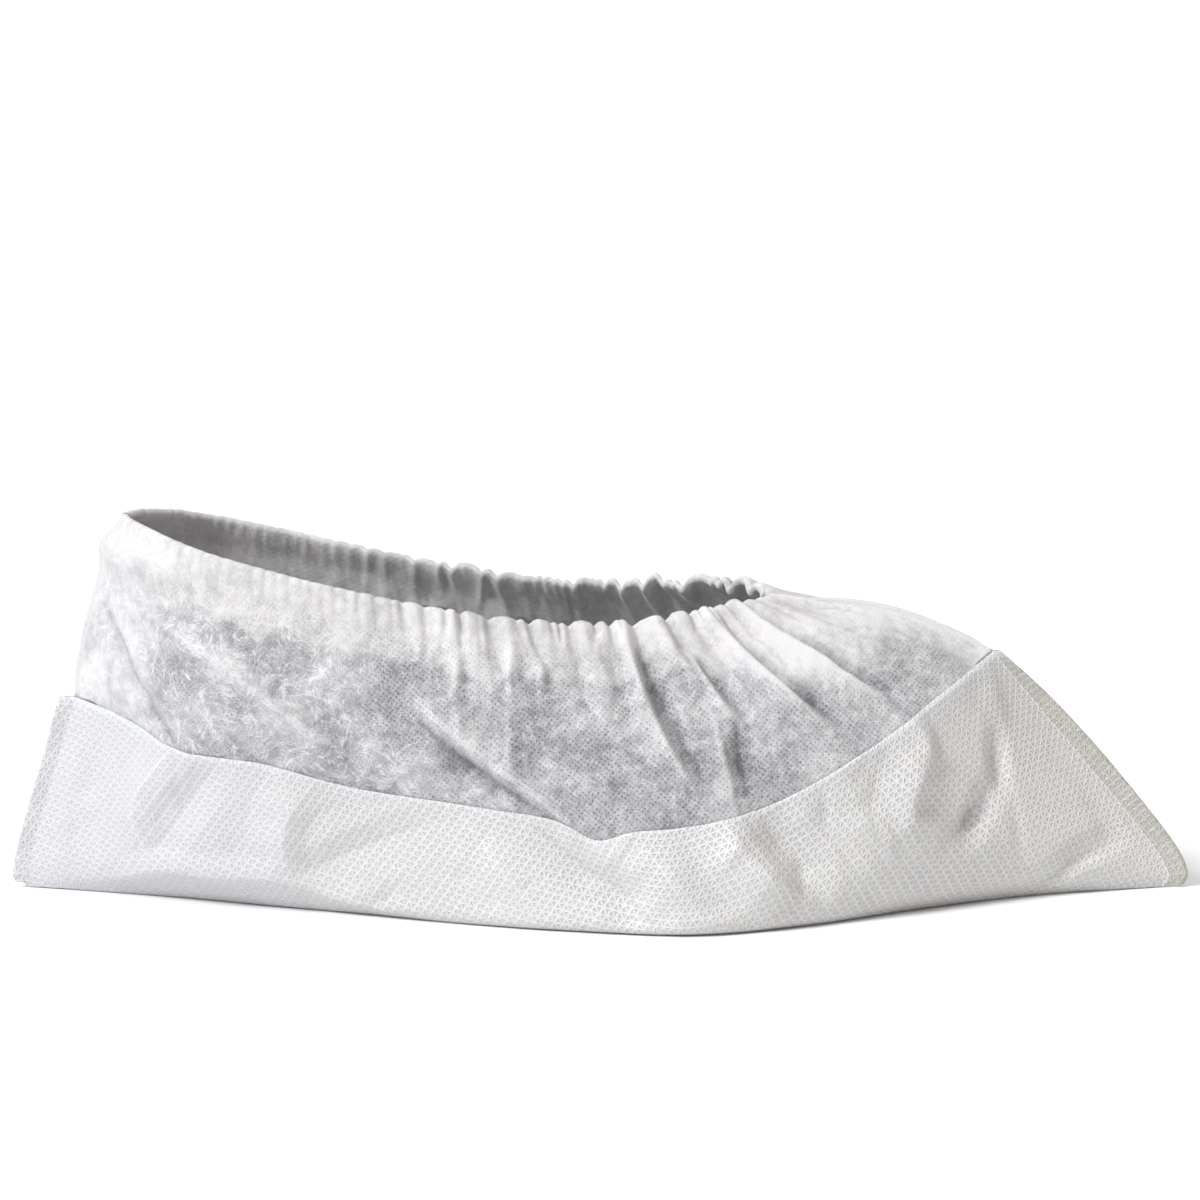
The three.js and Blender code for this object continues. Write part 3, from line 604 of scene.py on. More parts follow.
SOLE_COLUMNS = 400
SOLE_VS = np.concatenate([np.linspace(0, 1, 17)[:-1], np.linspace(1, 2, 35)])
SOLE_ROWS = len(SOLE_VS)
FIN_STEPS = 5
FIN_CORNER_ROWS = 10  # up which the welds are cut off at the floor
FIN_END_ROWS = 9  # up which they narrow or widen to their top
FIN_TOP_ROWS = 22  # over which the toe weld's free edge curves in to the top
FIN_BEND = 0.55  # where that curve's corner lies, as a share of the curve's span
FIN_HEADING_ROWS = 4  # over which its heading is taken
FIN_CORNER = 0.08  # the weld's width left at the floor, as a share
LONG_WAVE, SHORT_WAVE = (0.35, 0.55), (0.3, 1.7)  # of the free edge: height, and turn per row
WAVE_ROWS = 8  # up which the waves grow
FIN_TAPER = 0.3  # of a weld's thickness, lost on the way out
FILM_WIDTH = 1.5  # of bare film on the sheet beside a seam
FLOOR_STEPS = 8
# narrowing is how much the weld's top narrows, and bare how much of its film shows: its gloss, its darker
# tint that is partly painted shade, and a painted glint at its root
Fin = namedtuple("Fin", "column width direction narrowing bare")
FINS = {
    "toe": Fin(SOLE_COLUMNS, TOE_FIN, 1, 0.5, 1.0),
    "heel": Fin(0, HEEL_FIN, -1, -0.6, 0.0),
}
# One run of points up the sheet, with its place on the flat sheet and its values for the material.
Column = namedtuple("Column", "outer inner place film crease")


def sole_side(side):
    """The sheet on one side: its outer and inner skins, places along and up it, and its crease lines for
    painted shade and highlight.
    """
    t, v = np.meshgrid(np.linspace(0, LAST, SOLE_COLUMNS + 1), SOLE_VS)
    cloth = Cloth(side, t, v)
    outer = cloth.at(0)
    outer[..., 1] = np.maximum(outer[..., 1], FIN_HALF)
    inner = cloth.at(SOLE_WALL)
    inner[..., 1] = np.maximum(inner[..., 1], SKIN_HALF_GAP)
    inner[:, [0, -1], 1] = 0
    inner[..., 2] = np.maximum(inner[..., 2], SOLE_WALL)
    along = lengths(cloth.base, 1)
    along -= along[:, SOLE_COLUMNS // 2][:, None]
    up = lengths(cloth.base, 0) + cloth.base[0, :, 1]
    return outer, inner, along, up, cloth.lines


def fin_edge(seam, fin):
    """The free edge of a weld, which runs along the seam and ends in a cut corner at the floor."""
    rows, last = np.arange(len(seam)), len(seam) - 1
    run = unit(np.gradient(seam, axis=0) * [1, 0, 1])
    out = run[:, ::-1] * [1, 0, -1]
    out *= np.where(out[:, 0] * fin.direction < 0, -1, 1)[:, None]
    low = unit(np.array([fin.direction, 0, FIN_LIFT]))
    share = smooth(rows, 0, FIN_CORNER_ROWS)[:, None]
    out = low * (1 - share) + out * share
    top = np.array([fin.direction * FIN_TOP, 0, 0])
    share = smooth(rows, last - FIN_END_ROWS + 1, last)[:, None]
    out = out * (1 - share) + top * share
    width = fin.width * (1 - fin.narrowing * smooth(rows, last - FIN_END_ROWS, last))
    width *= FIN_CORNER + (1 - FIN_CORNER) * smooth(rows, -3, FIN_CORNER_ROWS)
    edge = seam + out * width[:, None]
    if fin.narrowing > 0:
        # a curve with one corner in place of the edge's top end
        first = len(seam) - FIN_TOP_ROWS
        share = np.linspace(0, 1, FIN_TOP_ROWS)[:, None]
        start, end = edge[first].copy(), edge[-1].copy()
        heading = unit(edge[first] - edge[first - FIN_HEADING_ROWS])
        corner = start + heading * np.linalg.norm(end - start) * FIN_BEND
        edge[first:] = (1 - share) ** 2 * start + 2 * share * (1 - share) * corner + share**2 * end
    edge[:, 1] = 0
    edge[:, 2] = np.maximum(edge[:, 2], 0)
    return edge


def fin_columns(parts, side, end):
    """A weld's columns, from beside the seam out to its wavy free edge. They have no inner skin."""
    fin, rows = FINS[end], np.arange(SOLE_ROWS)
    _, _, along, up, _ = parts[side]
    seam = parts["right"][0][:, fin.column].copy()
    seam[:, 1] = 0
    edge = fin_edge(seam, fin)
    made = []
    for k in range(1, FIN_STEPS + 1):
        share = k / FIN_STEPS
        outer = seam + (edge - seam) * share
        wave = LONG_WAVE[0] * np.sin(rows * LONG_WAVE[1] + fin.column)
        wave += SHORT_WAVE[0] * np.sin(rows * SHORT_WAVE[1])
        wave *= share * smooth(rows, 0, WAVE_ROWS)
        outer[:, 1] = FIN_HALF * (1 - FIN_TAPER * share) * SIGN[side] + wave
        u = along[:, fin.column] + fin.direction * fin.width * share
        place = np.stack([u, up[:, fin.column] * SIGN[side]], 1)
        made.append(Column(outer, None, place, np.full(SOLE_ROWS, fin.bare), np.zeros(SOLE_ROWS)))
    return made


def side_columns(parts, side):
    """One side's columns, from the heel to the toe."""
    outer, inner, along, up, crease = parts[side]
    mirror = [1, SIGN[side], 1]
    seam_distance = np.minimum(along - along[:, :1], along[:, -1:] - along)
    film = 1 - smooth(seam_distance, 0, FILM_WIDTH)
    film *= np.where(along > 0, FINS["toe"].bare, FINS["heel"].bare)
    made = []
    for i in range(SOLE_COLUMNS + 1):
        place = np.stack([along[:, i], up[:, i] * SIGN[side]], 1)
        made.append(Column(outer[:, i] * mirror, inner[:, i] * mirror, place, film[:, i], crease[:, i]))
    return made


def inner_skin(columns, first_left):
    """The inner columns in order, and for each outer column the number of the inner one behind it.
    The two sides share their inner columns at the seams, and the welds have none."""
    side_count = SOLE_COLUMNS + 1
    left_end = first_left + SOLE_COLUMNS
    kept = list(range(side_count)) + list(range(first_left + 1, left_end))
    behind = np.zeros(len(columns), int)
    behind[:side_count] = np.arange(side_count)
    behind[side_count : first_left + 1] = side_count - 1
    behind[first_left + 1 : left_end] = np.arange(side_count, len(kept))
    behind[left_end:] = 0
    return [columns[i] for i in kept], behind


def sole_cover():
    """The sheet's points, faces, places on the flat sheet, and values for its material. Its columns
    go round the foot: right side, toe weld, left side and heel weld."""
    parts = {side: sole_side(side) for side in SIGN}
    columns = (
        side_columns(parts, "right")
        + fin_columns(parts, "right", "toe")
        + fin_columns(parts, "left", "toe")[::-1]
        + side_columns(parts, "left")[::-1]
        + fin_columns(parts, "left", "heel")
        + fin_columns(parts, "right", "heel")[::-1]
    )
    count, side_count = len(columns), SOLE_COLUMNS + 1
    first_left = side_count + 2 * FIN_STEPS
    inner_columns, behind = inner_skin(columns, first_left)
    points = np.concatenate([c.outer for c in columns] + [c.inner for c in inner_columns])
    places = np.concatenate([c.place for c in columns + inner_columns])
    # the top rows carry a painted highlight along the cut edge
    cut_edge_highlight = smooth(np.arange(SOLE_ROWS), SOLE_ROWS - 3, SOLE_ROWS - 1)
    values = {
        "film": np.concatenate([c.film for c in columns]),
        "crease": np.concatenate([c.crease for c in columns]),
        "cut_edge_highlight": np.tile(cut_edge_highlight, count + len(inner_columns)),
    }

    outer_grid = np.arange(count * SOLE_ROWS).reshape(count, SOLE_ROWS)
    inner_grid = (count + behind)[:, None] * SOLE_ROWS + np.arange(SOLE_ROWS)
    closed = np.concatenate([outer_grid, outer_grid[:1]]).T
    closed_in = np.concatenate([inner_grid, inner_grid[:1]]).T
    faces = [quads(closed), quads(closed_in), quads(np.stack([closed[-1], closed_in[-1]]))]

    # the sheet underfoot, outer and inner, in rungs from the right side to the left
    right_ids = np.arange(side_count)
    left_ids = first_left + side_count - 1 - right_ids
    for grid, height in ((outer_grid, 0.0), (inner_grid, SOLE_WALL)):
        right, left = grid[right_ids, 0], grid[left_ids, 0]
        place, place_left = places[outer_grid[right_ids, 0]], places[outer_grid[left_ids, 0]]
        rungs, from_right, to_left = [right], points[right], points[left]
        for k in range(1, FLOOR_STEPS):
            share = k / FLOOR_STEPS
            rung = from_right + (to_left - from_right) * share
            rung[:, 2] = height
            ids = np.arange(len(points), len(points) + side_count)
            if grid is inner_grid:
                ids[0], ids[-1] = right[0], right[-1]
            points = np.concatenate([points, rung])
            places = np.concatenate([places, place + (place_left - place) * share])
            rungs.append(ids)
        rungs.append(left)
        faces.append(quads(np.stack(rungs)))

    # the undersides of the welds, whose roots close onto the rungs' ends
    undersides = []
    for first in (side_count - 1, first_left + side_count - 1):
        loop = [outer_grid[(first + k) % count, 0] for k in range(2 * FIN_STEPS + 2)]
        for k in range(FIN_STEPS):
            undersides.append([loop[k], loop[k + 1], loop[-2 - k], loop[-1 - k]])
    for key, value in values.items():
        values[key] = np.concatenate([value, np.zeros(len(points) - len(value))])
    return points, [row for block in faces for row in block.tolist()] + undersides, places, values


FLAT_COLUMNS = 61
FLAT_ROWS = 13


def flat_map(side):
    """The upper laid out flat with its angles kept: coarse places (t, v) and where each lands, in mm."""
    ts, vs = np.linspace(0, LAST, FLAT_COLUMNS), np.linspace(EDGE_V - TUCK, MOUTH_V, FLAT_ROWS)
    t, v = np.meshgrid(ts, vs)
    points = smooth_surface(side, t, v)
    points[..., 1] *= SIGN[side]
    points = points.reshape(-1, 3)
    index = np.arange(len(points)).reshape(t.shape)
    four = quads(index)
    three = np.concatenate([four[:, [0, 1, 2]], four[:, [0, 2, 3]]])
    a, b, c = (points[three[:, k]] for k in range(3))
    x = unit(b - a)
    ahead = np.linalg.norm(b - a, axis=1)
    cx = ((c - a) * x).sum(1)
    cy = np.linalg.norm((c - a) - cx[:, None] * x, axis=1)
    # each triangle's corners as complex numbers, and how they pull on one another
    corners = np.stack([np.zeros_like(cx) + 0j, ahead + 0j, cx + 1j * cy], 1)
    pull = corners[:, [2, 0, 1]] - corners[:, [1, 2, 0]]
    pull /= np.sqrt(np.abs(ahead * cy))[:, None]
    matrix = np.zeros((len(three), len(points)), complex)
    for k in range(3):
        matrix[np.arange(len(three)), three[:, k]] += pull[:, k]
    middle = index[FLAT_ROWS // 2]
    pins = [middle[FLAT_COLUMNS // 4], middle[3 * FLAT_COLUMNS // 4]]
    gap = np.linalg.norm(points[pins[1]] - points[pins[0]])
    fixed = np.array([0, gap], complex)
    free = np.setdiff1d(np.arange(len(points)), pins)
    found = np.zeros(len(points), complex)
    found[pins] = fixed
    found[free] = np.linalg.lstsq(matrix[:, free], -matrix[:, pins] @ fixed, rcond=None)[0]
    grid = found.reshape(t.shape)
    centre = FLAT_COLUMNS // 2
    upwards = grid[-1, centre] - grid[0, centre]
    grid = (grid - grid[0, centre]) * 1j * abs(upwards) / upwards
    real = np.linalg.norm(np.diff(points.reshape(*t.shape, 3), axis=0), axis=2).sum()
    return ts, vs, grid * real / np.abs(np.diff(grid, axis=0)).sum()


def flat_places(table, t, v):
    """Places (u, w) on the flat cloth at arrays (t, v)."""
    ts, vs, grid = table
    x = np.clip((t - ts[0]) / (ts[1] - ts[0]), 0, len(ts) - 1.001)
    y = np.clip((v - vs[0]) / (vs[1] - vs[0]), 0, len(vs) - 1.001)
    i, j = x.astype(int), y.astype(int)

    def at(column, row):
        return grid[row, column]

    place = between(at, i, j, x - i, y - j)
    return place.real, place.imag


UPPER_COLUMNS = 440
UPPER_ROWS = 76
HEM_TURNS = 8
HEM_TURN_RUN = 4.0  # of cloth round the hem's fold
LEG_ROWS = 14
LEG_INSET = 0.85  # of the hem's leg once it has come back to the cloth, LEG_RETURN below the fold
LEG_RETURN = 9.0
HEM_EDGE = 1.5  # half the width over which the hem's lower edge fades
SEAM_STEPS = 2
SEAM_WIDTH = 1.3
SEAM_LEAST = 0.12
SEAM_LOW_V = (2.0, 2.3)  # over which the seam's free edge grows, and over which it ends at the rim
SEAM_RIM_V = (3.55, 3.95)
SPEED_STEP = 0.1
# share, cells in a step of t, seed
HEM_UNEVEN = [(0.16, 3.1, 41), (0.05, 9.0, 42)]
# where the upper is painted darker, as the shade of its inside seen through the thin cloth
SHADE_FROM_T = (0.9, 2.1)
SHADE_TO_T = (10.2, 10.9)
UNSHADED_V = 3.55  # from where the painted shade fades out towards the mouth, over the following run
UNSHADED_RUN = 0.35
VAMP_T = (7.5, 9.5)  # from here on the painted shade fades out from VAMP_LOWER lower, over VAMP_RUN more
VAMP_LOWER = 1.3
VAMP_RUN = 0.6


def hem_turn(top, outwards, upwards):
    """Half a turn inwards from the rim: its points, the ways they face, and the fold's centre line."""
    centre = top - outwards * HEM_RADIUS
    angles = math.pi * np.arange(1, HEM_TURNS + 1)[:, None, None] / HEM_TURNS
    facing = outwards * np.cos(angles) + upwards * np.sin(angles)
    return centre + facing * HEM_RADIUS, facing, centre


def hem_depths(ts):
    """How far the hem reaches down at each column: a little unevenly, as it was turned in by hand."""
    depth = np.ones_like(ts)
    for share, cells, seed in HEM_UNEVEN:
        depth += share * value_noise(ts * cells, ts * 0, seed)
    return HEM_DEPTH * depth


def hem_leg(side, ts, depth):
    """The hem's inner leg: its points, the ways they face, their v, and how far they hang down."""
    rim = smooth_surface(side, ts, np.full_like(ts, MOUTH_V))
    below = smooth_surface(side, ts, np.full_like(ts, MOUTH_V - SPEED_STEP))
    speed = np.linalg.norm(rim - below, axis=1) / SPEED_STEP
    drop = np.linspace(0, 1, LEG_ROWS + 1)[1:, None] * depth
    v = MOUTH_V - drop / speed
    cloth = Cloth(side, np.broadcast_to(ts, v.shape).copy(), v)
    inset = 2 * HEM_RADIUS + (LEG_INSET - 2 * HEM_RADIUS) * smooth(drop, 0, LEG_RETURN)
    return cloth.at(UPPER_WALL / 2 + inset), -cloth.outwards, v, drop


def inside_shade_map(t, v):
    """Where the upper is painted darker, as the shade of its inside seen through the thin cloth, 1, and
    where not, 0: at both ends and towards the mouth.
    """
    vamp = smooth(t, *VAMP_T)
    unshaded = smooth((v - UNSHADED_V + VAMP_LOWER * vamp) / (UNSHADED_RUN + VAMP_RUN * vamp), 0, 1)
    return smooth(t, *SHADE_FROM_T) * (1 - smooth(t, *SHADE_TO_T)) * (1 - unshaded)


def upper_grid(side):
    """The middle of the upper's cloth, from its lower edge up and round the hem: points, the ways they
    face, their v, their places on the flat cloth, marks for the material, and the fold's centre."""
    ts = np.linspace(0, LAST, UPPER_COLUMNS + 1)
    low = EDGE_V + BUTT + (-TUCK - BUTT) * smooth(from_seam(ts), SEAM_T, TUCKED_T)
    v = low + (MOUTH_V - low) * np.linspace(0, 1, UPPER_ROWS)[:, None]
    t = np.broadcast_to(ts, v.shape).copy()
    cloth = Cloth(side, t, v)
    behind = smooth(from_seam(t), 0, SEAM_T) * (1 - smooth(v, *STEP_OUT_V))
    middle = cloth.at(UPPER_WALL / 2 + (SOLE_WALL + GAP) * behind)
    along, up = flat_places(flat_map(side), t, v)
    below_rim = lengths(cloth.base, 0)
    below_rim = below_rim[-1] - below_rim

    turn, turn_facing, centre = hem_turn(middle[-1], cloth.outwards[-1], cloth.upwards[-1])
    depth = hem_depths(ts)
    leg, leg_facing, leg_v, drop = hem_leg(side, ts, depth)
    turned_in = (HEM_TURNS + LEG_ROWS, len(ts))
    turn_run = np.linspace(0.5, HEM_TURN_RUN, HEM_TURNS)[:, None]
    rows = np.concatenate([middle, turn, leg])
    facings = np.concatenate([cloth.outwards, turn_facing, leg_facing])
    vs = np.concatenate([v, np.full(turn.shape[:2], MOUTH_V), leg_v])
    ups = np.concatenate([up, up[-1] + turn_run, up[-1] + HEM_TURN_RUN + drop])
    alongs = np.concatenate([along, np.broadcast_to(along[-1], turned_in)])
    hem = 1 - smooth(below_rim, depth - HEM_EDGE, depth + HEM_EDGE)
    marks = {
        "hem": np.concatenate([hem, np.ones(turned_in)]),
        # painted shade of the inside, seen through the thin cloth
        "inside_shade": np.concatenate([inside_shade_map(t, v), np.zeros(turned_in)]),
        "crease": np.concatenate([cloth.lines, np.zeros(turned_in)]),
        "fold_shade": np.concatenate([cloth.fold_shade, np.zeros(turned_in)]),
    }
    return rows, facings, vs, alongs, ups, marks, centre


def widened(grid):
    """A grid with its first and last columns repeated for the seams' free edges."""
    return np.concatenate([grid[:, [0] * SEAM_STEPS], grid, grid[:, [-1] * SEAM_STEPS]], 1)


def seam_edge(p, facing, vs, column):
    """The columns by which a welded seam stands out past the end of one skin."""
    out = unit(facing[:, column] * [1, 0, 1])
    grows, ends = smooth(vs[:, column], *SEAM_LOW_V), smooth(vs[:, column], *SEAM_RIM_V)
    width = SEAM_WIDTH * (1 - ends) * grows + SEAM_LEAST
    steps = np.arange(1, SEAM_STEPS + 1) / SEAM_STEPS
    return p[:, [column]] + out[:, None] * (width[:, None] * steps)[..., None]


def upper_panel(side):
    """One upper with its two skins: points, faces, places on the flat cloth, marks and fold's centre."""
    rows, facings, vs, alongs, ups, marks, centre = upper_grid(side)
    mirror = [1, SIGN[side], 1]
    pinch = 1 - smooth(vs, OPEN_OUT_V, MOUTH_V)
    closing = smooth(vs, *CLOSED_V)
    closing[UPPER_ROWS:] = 1
    closing[:, UPPER_COLUMNS // 2 :] = 0
    half = UPPER_WALL / 2
    skins = []
    for shift, clearance in ((half, UPPER_WALL), (-half, 0)):
        p = rows + facings * shift
        p[..., 1] = np.maximum(p[..., 1], (SKIN_HALF_GAP + clearance * pinch) * (1 - closing))
        p[:, [0, -1], 1] -= CLOSED_LAP * closing[:, [0, -1]]
        heel, toe = (seam_edge(p, facings, vs, column) for column in (0, -1))
        skins.append(np.concatenate([heel[:, ::-1], p, toe], 1) * mirror)
    u, w = widened(alongs), widened(ups)
    for k in range(SEAM_STEPS):
        u[:, SEAM_STEPS - 1 - k] -= (k + 1) * SEAM_WIDTH / SEAM_STEPS
        u[:, -SEAM_STEPS + k] += (k + 1) * SEAM_WIDTH / SEAM_STEPS
    marks = {key: widened(mark) for key, mark in marks.items()}
    marks["seam"] = np.zeros_like(u)
    marks["seam"][:, : SEAM_STEPS + 1] = 1
    marks["seam"][:, -SEAM_STEPS - 1 :] = 1
    outer = np.arange(u.size).reshape(u.shape)
    inner = outer + u.size
    faces = [quads(outer), quads(inner)]
    for end in (np.s_[0], np.s_[-1], np.s_[:, 0], np.s_[:, -1]):
        faces.append(quads(np.stack([outer[end], inner[end]])))
    points = np.concatenate([skin.reshape(-1, 3) for skin in skins])
    uv = np.tile(np.stack([u.ravel(), w.ravel()], 1), (2, 1))
    values = {key: np.tile(mark.ravel(), 2) for key, mark in marks.items()}
    return points, [face for block in faces for face in block.tolist()], uv, values, centre * mirror


def tube(path, radius, sides):
    """A closed round tube along a closed path of points."""
    run = unit(np.roll(path, -1, 0) - np.roll(path, 1, 0))
    across = unit(np.cross(run, [0, 0, 1.0]))
    up = np.cross(across, run)
    angles = 2 * math.pi * np.arange(sides)[:, None] / sides
    rings = path[:, None] + radius * (np.cos(angles) * across[:, None] + np.sin(angles) * up[:, None])
    index = np.arange(len(path) * sides).reshape(len(path), sides)
    return rings.reshape(-1, 3), quads(np.pad(index, (0, 1), "wrap")).tolist()


# ---------------------------------------------------------------- materials
class Nodes:
    """Short calls for building a node tree."""

    def __init__(self, tree):
        self.tree = tree

    def link(self, source, target):
        self.tree.links.new(source, target)

    def node(self, kind, inputs=(), **settings):
        """A node with its settings; its inputs, listed or by name, are links or fixed values."""
        made = self.tree.nodes.new(kind)
        for key, value in settings.items():
            setattr(made, key, value)
        for key, value in inputs.items() if isinstance(inputs, dict) else enumerate(inputs):
            if isinstance(value, bpy.types.NodeSocket):
                self.link(value, made.inputs[key])
            else:
                made.inputs[key].default_value = value
        return made

    def math(self, operation, *values, clamp=False):
        return self.node("ShaderNodeMath", values, operation=operation, use_clamp=clamp).outputs[0]

    def add(self, a, b, clamp=False):
        return self.math("ADD", a, b, clamp=clamp)

    def times(self, a, b):
        return self.math("MULTIPLY", a, b)

    def total(self, values):
        """All the values added up."""
        result = values[0]
        for value in values[1:]:
            result = self.add(result, value)
        return result

    def ramp(self, value, low, high, to_low=0.0, to_high=1.0):
        """From one value at low to another at high, and level beyond them."""
        inputs = (value, low, high, to_low, to_high)
        return self.node("ShaderNodeMapRange", inputs, interpolation_type="SMOOTHSTEP").outputs[0]

    def mix_color(self, factor, a, b):
        """From colour a at factor 0 to colour b at 1; a fixed colour is three numbers."""
        a, b = ((*colour, 1) if isinstance(colour, tuple) else colour for colour in (a, b))
        return self.node("ShaderNodeMix", {0: factor, 6: a, 7: b}, data_type="RGBA").outputs[2]

    def attribute(self, name):
        return self.node("ShaderNodeAttribute", attribute_name=name).outputs["Fac"]

    def cloth_mm(self):
        """The place on the flat cloth in millimetres."""
        inputs = {0: self.node("ShaderNodeUVMap", uv_map="cloth").outputs[0], "Scale": UV_MM}
        return self.node("ShaderNodeVectorMath", inputs, operation="SCALE").outputs[0]

    def vector(self, operation, *values):
        return self.node("ShaderNodeVectorMath", values, operation=operation).outputs[0]

    def turned(self, place, degrees, stretch):
        """The place in axes turned by some degrees and then stretched."""
        inputs = {"Vector": place, "Angle": math.radians(degrees)}
        made = self.node("ShaderNodeVectorRotate", inputs, rotation_type="Z_AXIS")
        return self.vector("MULTIPLY", made.outputs[0], stretch)

    def along(self, place, x, y=0):
        """How far the place lies along a direction on the cloth."""
        made = self.node("ShaderNodeVectorMath", (place, (x, y, 0)), operation="DOT_PRODUCT")
        return made.outputs["Value"]

    def wave(self, place, pitch, degrees):
        """A cosine wave of this pitch across the cloth in some direction."""
        k, angle = 2 * math.pi / pitch, math.radians(degrees)
        return self.math("COSINE", self.along(place, k * math.cos(angle), k * math.sin(angle)))

    def noise(self, place, scale=1.0, detail=0.0, roughness=0.5, output="Fac"):
        inputs = {"Vector": place, "Scale": scale, "Detail": detail, "Roughness": roughness}
        return self.node("ShaderNodeTexNoise", inputs, noise_dimensions="2D").outputs[output]

    def wander(self, place, scale, by):
        """A small random shift of the place, in millimetres."""
        drawn = self.noise(place, scale, output="Color")
        centred = self.vector("SUBTRACT", drawn, (0.5, 0.5, 0.5))
        return self.vector("MULTIPLY", centred, (by, by, 0))

    def bump(self, shader, relief, strength, distance):
        """Let the shader's surface stand out by the relief."""
        inputs = {"Height": relief, "Strength": strength, "Distance": distance}
        made = self.node("ShaderNodeBump", inputs)
        self.link(made.outputs[0], shader.inputs["Normal"])
        return made

    def glowing(self, shader, colour, share):
        """The shader with a share of light let through: the mixed shader and the one that lets it."""
        glow = self.node("ShaderNodeBsdfTranslucent", {"Color": (*colour, 1)})
        both = self.node("ShaderNodeMixShader", (share, shader.outputs[0], glow.outputs[0]))
        return both, glow

    def finish(self, shader):
        self.node("ShaderNodeOutputMaterial", {"Surface": shader.outputs[0]})


def new_material(name):
    material = bpy.data.materials.new(name)
    material.use_nodes = True
    material.node_tree.nodes.clear()
    return material, Nodes(material.node_tree)


def triangle_lines(n, place, pitch):
    """1 on the lines of a grid of triangles with sides of this length, and 0 in the triangles."""
    first, second, third = (n.wave(place, pitch * math.sqrt(3) / 2, degrees) for degrees in (90, 210, 330))
    return n.ramp(n.math("MAXIMUM", n.math("MAXIMUM", first, second), third), 0.2, 0.85)


EMBOSS_PITCH = 2.4


def laminate_material():
    material, n = new_material("laminate_sheet")
    place = n.cloth_mm()
    film, cut_edge_highlight, crease = n.attribute("film"), n.attribute("cut_edge_highlight"), n.attribute("crease")
    lines = triangle_lines(n, n.vector("ADD", place, n.wander(place, 0.3, 0.3)), EMBOSS_PITCH)
    # painted shade in the emboss pits: darker towards the toe, and weaker in patches
    forward = n.ramp(n.along(place, 1), -170, 80)
    patches = n.ramp(n.noise(place, 0.04, 3.0), 0.32, 0.62, 0.55, 1.0)
    pit_shade_strength = n.times(patches, n.ramp(forward, 0, 1, 0.5, 1.0))
    fine = n.noise(place, 0.9, 3.0)
    pit = n.times(n.math("SUBTRACT", 1.0, lines), n.ramp(fine, 0.25, 0.6, 0.55, 1.0))
    # painted light: the sheet is painted cooler and darker at the heel and warmer and lighter towards the
    # toe, to set the light along the foot
    sheet = n.mix_color(forward, (0.73, 0.73, 0.755), (0.795, 0.787, 0.772))
    # painted shade: the emboss pits are painted darker
    white = n.mix_color(n.times(pit, pit_shade_strength), sheet, (0.6, 0.595, 0.59))
    mottled = n.ramp(n.noise(place, 0.09, 4.0, 0.6), 0.3, 0.75)
    # the weld is bare film, glossier and tinted darker and warmer: partly the film's own tint and partly
    # painted shade; the white line at its root is a painted glint
    root = n.times(n.ramp(film, 0.3, 0.6), n.ramp(film, 0.95, 0.65))
    layers = [
        (n.times(mottled, 0.25), (0.70, 0.70, 0.705)),
        # painted highlight on the ridges' crease lines, and painted shade in the valleys'
        (n.times(n.ramp(crease, 0.15, 0.9), 0.25), (0.93, 0.93, 0.94)),
        (n.times(n.ramp(crease, -0.15, -0.9), 0.25), (0.47, 0.465, 0.46)),
        # partly the film's own tint, partly painted shade
        (n.ramp(film, 0.0, 1.0, 0.0, 0.75), (0.50, 0.485, 0.43)),
        # painted glint at the weld's root
        (n.times(root, 0.8), (0.95, 0.95, 0.94)),
        # painted highlight along the cut edge
        (n.times(cut_edge_highlight, 0.8), (0.80, 0.86, 0.88)),
    ]
    for share, tint in layers:
        white = n.mix_color(share, white, tint)
    shader = n.node("ShaderNodeBsdfPrincipled")
    n.link(white, shader.inputs["Base Color"])
    rough = n.add(n.times(fine, 0.2), 0.32)
    n.link(n.math("SUBTRACT", rough, n.times(film, 0.22)), shader.inputs["Roughness"])
    shader.inputs["IOR"].default_value = 1.5
    bump = n.bump(shader, n.add(n.times(pit, -1.0), n.times(fine, 0.6)), 0.8, 0.0004)
    both, glow = n.glowing(shader, (0.9, 0.9, 0.92), 0.15)
    n.link(bump.outputs[0], glow.inputs["Normal"])
    n.finish(both)
    return material


BOND_PITCH = 1.75
HAIR_DEGREES = (14, 52, 83, 121, 158)
STREAK_DEGREES = (35, 100, 150)


def bond_points(n, place):
    """1 on the bond points, which lie in staggered rows."""
    spots = n.vector("ADD", place, n.wander(place, 0.25, 0.5))
    both = n.add(n.wave(spots, BOND_PITCH, 0), n.wave(spots, BOND_PITCH, 90))
    return n.ramp(n.math("ABSOLUTE", both), 1.2, 1.85)


def fibres(n, place):
    """Fine hairs in every direction, broken into lengths, and the short soft streaks under them."""
    bent = n.vector("ADD", n.wander(place, 0.08, 4.5), n.wander(place, 0.4, 0.35))
    strayed = n.vector("ADD", place, bent)
    hairs, streaks = [], []
    for number, degrees in enumerate(HAIR_DEGREES):
        moved = n.vector("ADD", strayed, (number * 53.0, number * 29.0, 0))
        wave = n.noise(n.turned(moved, degrees, (0.07, 0.85, 1)))
        line = n.ramp(n.math("ABSOLUTE", n.math("SUBTRACT", wave, 0.5)), 0.0, 0.055, 1.0, 0.0)
        gaps = n.ramp(n.noise(n.vector("ADD", moved, (7.0, 90.0, 0)), 0.16), 0.42, 0.55)
        hairs.append(n.times(line, gaps))
    for number, degrees in enumerate(STREAK_DEGREES):
        moved = n.vector("ADD", strayed, (number * 31.0, number * 17.0, 0))
        streaks.append(n.noise(n.turned(moved, degrees, (0.3, 1.7, 1)), 1.0, 1.0))
    return n.total(hairs), n.total(streaks)


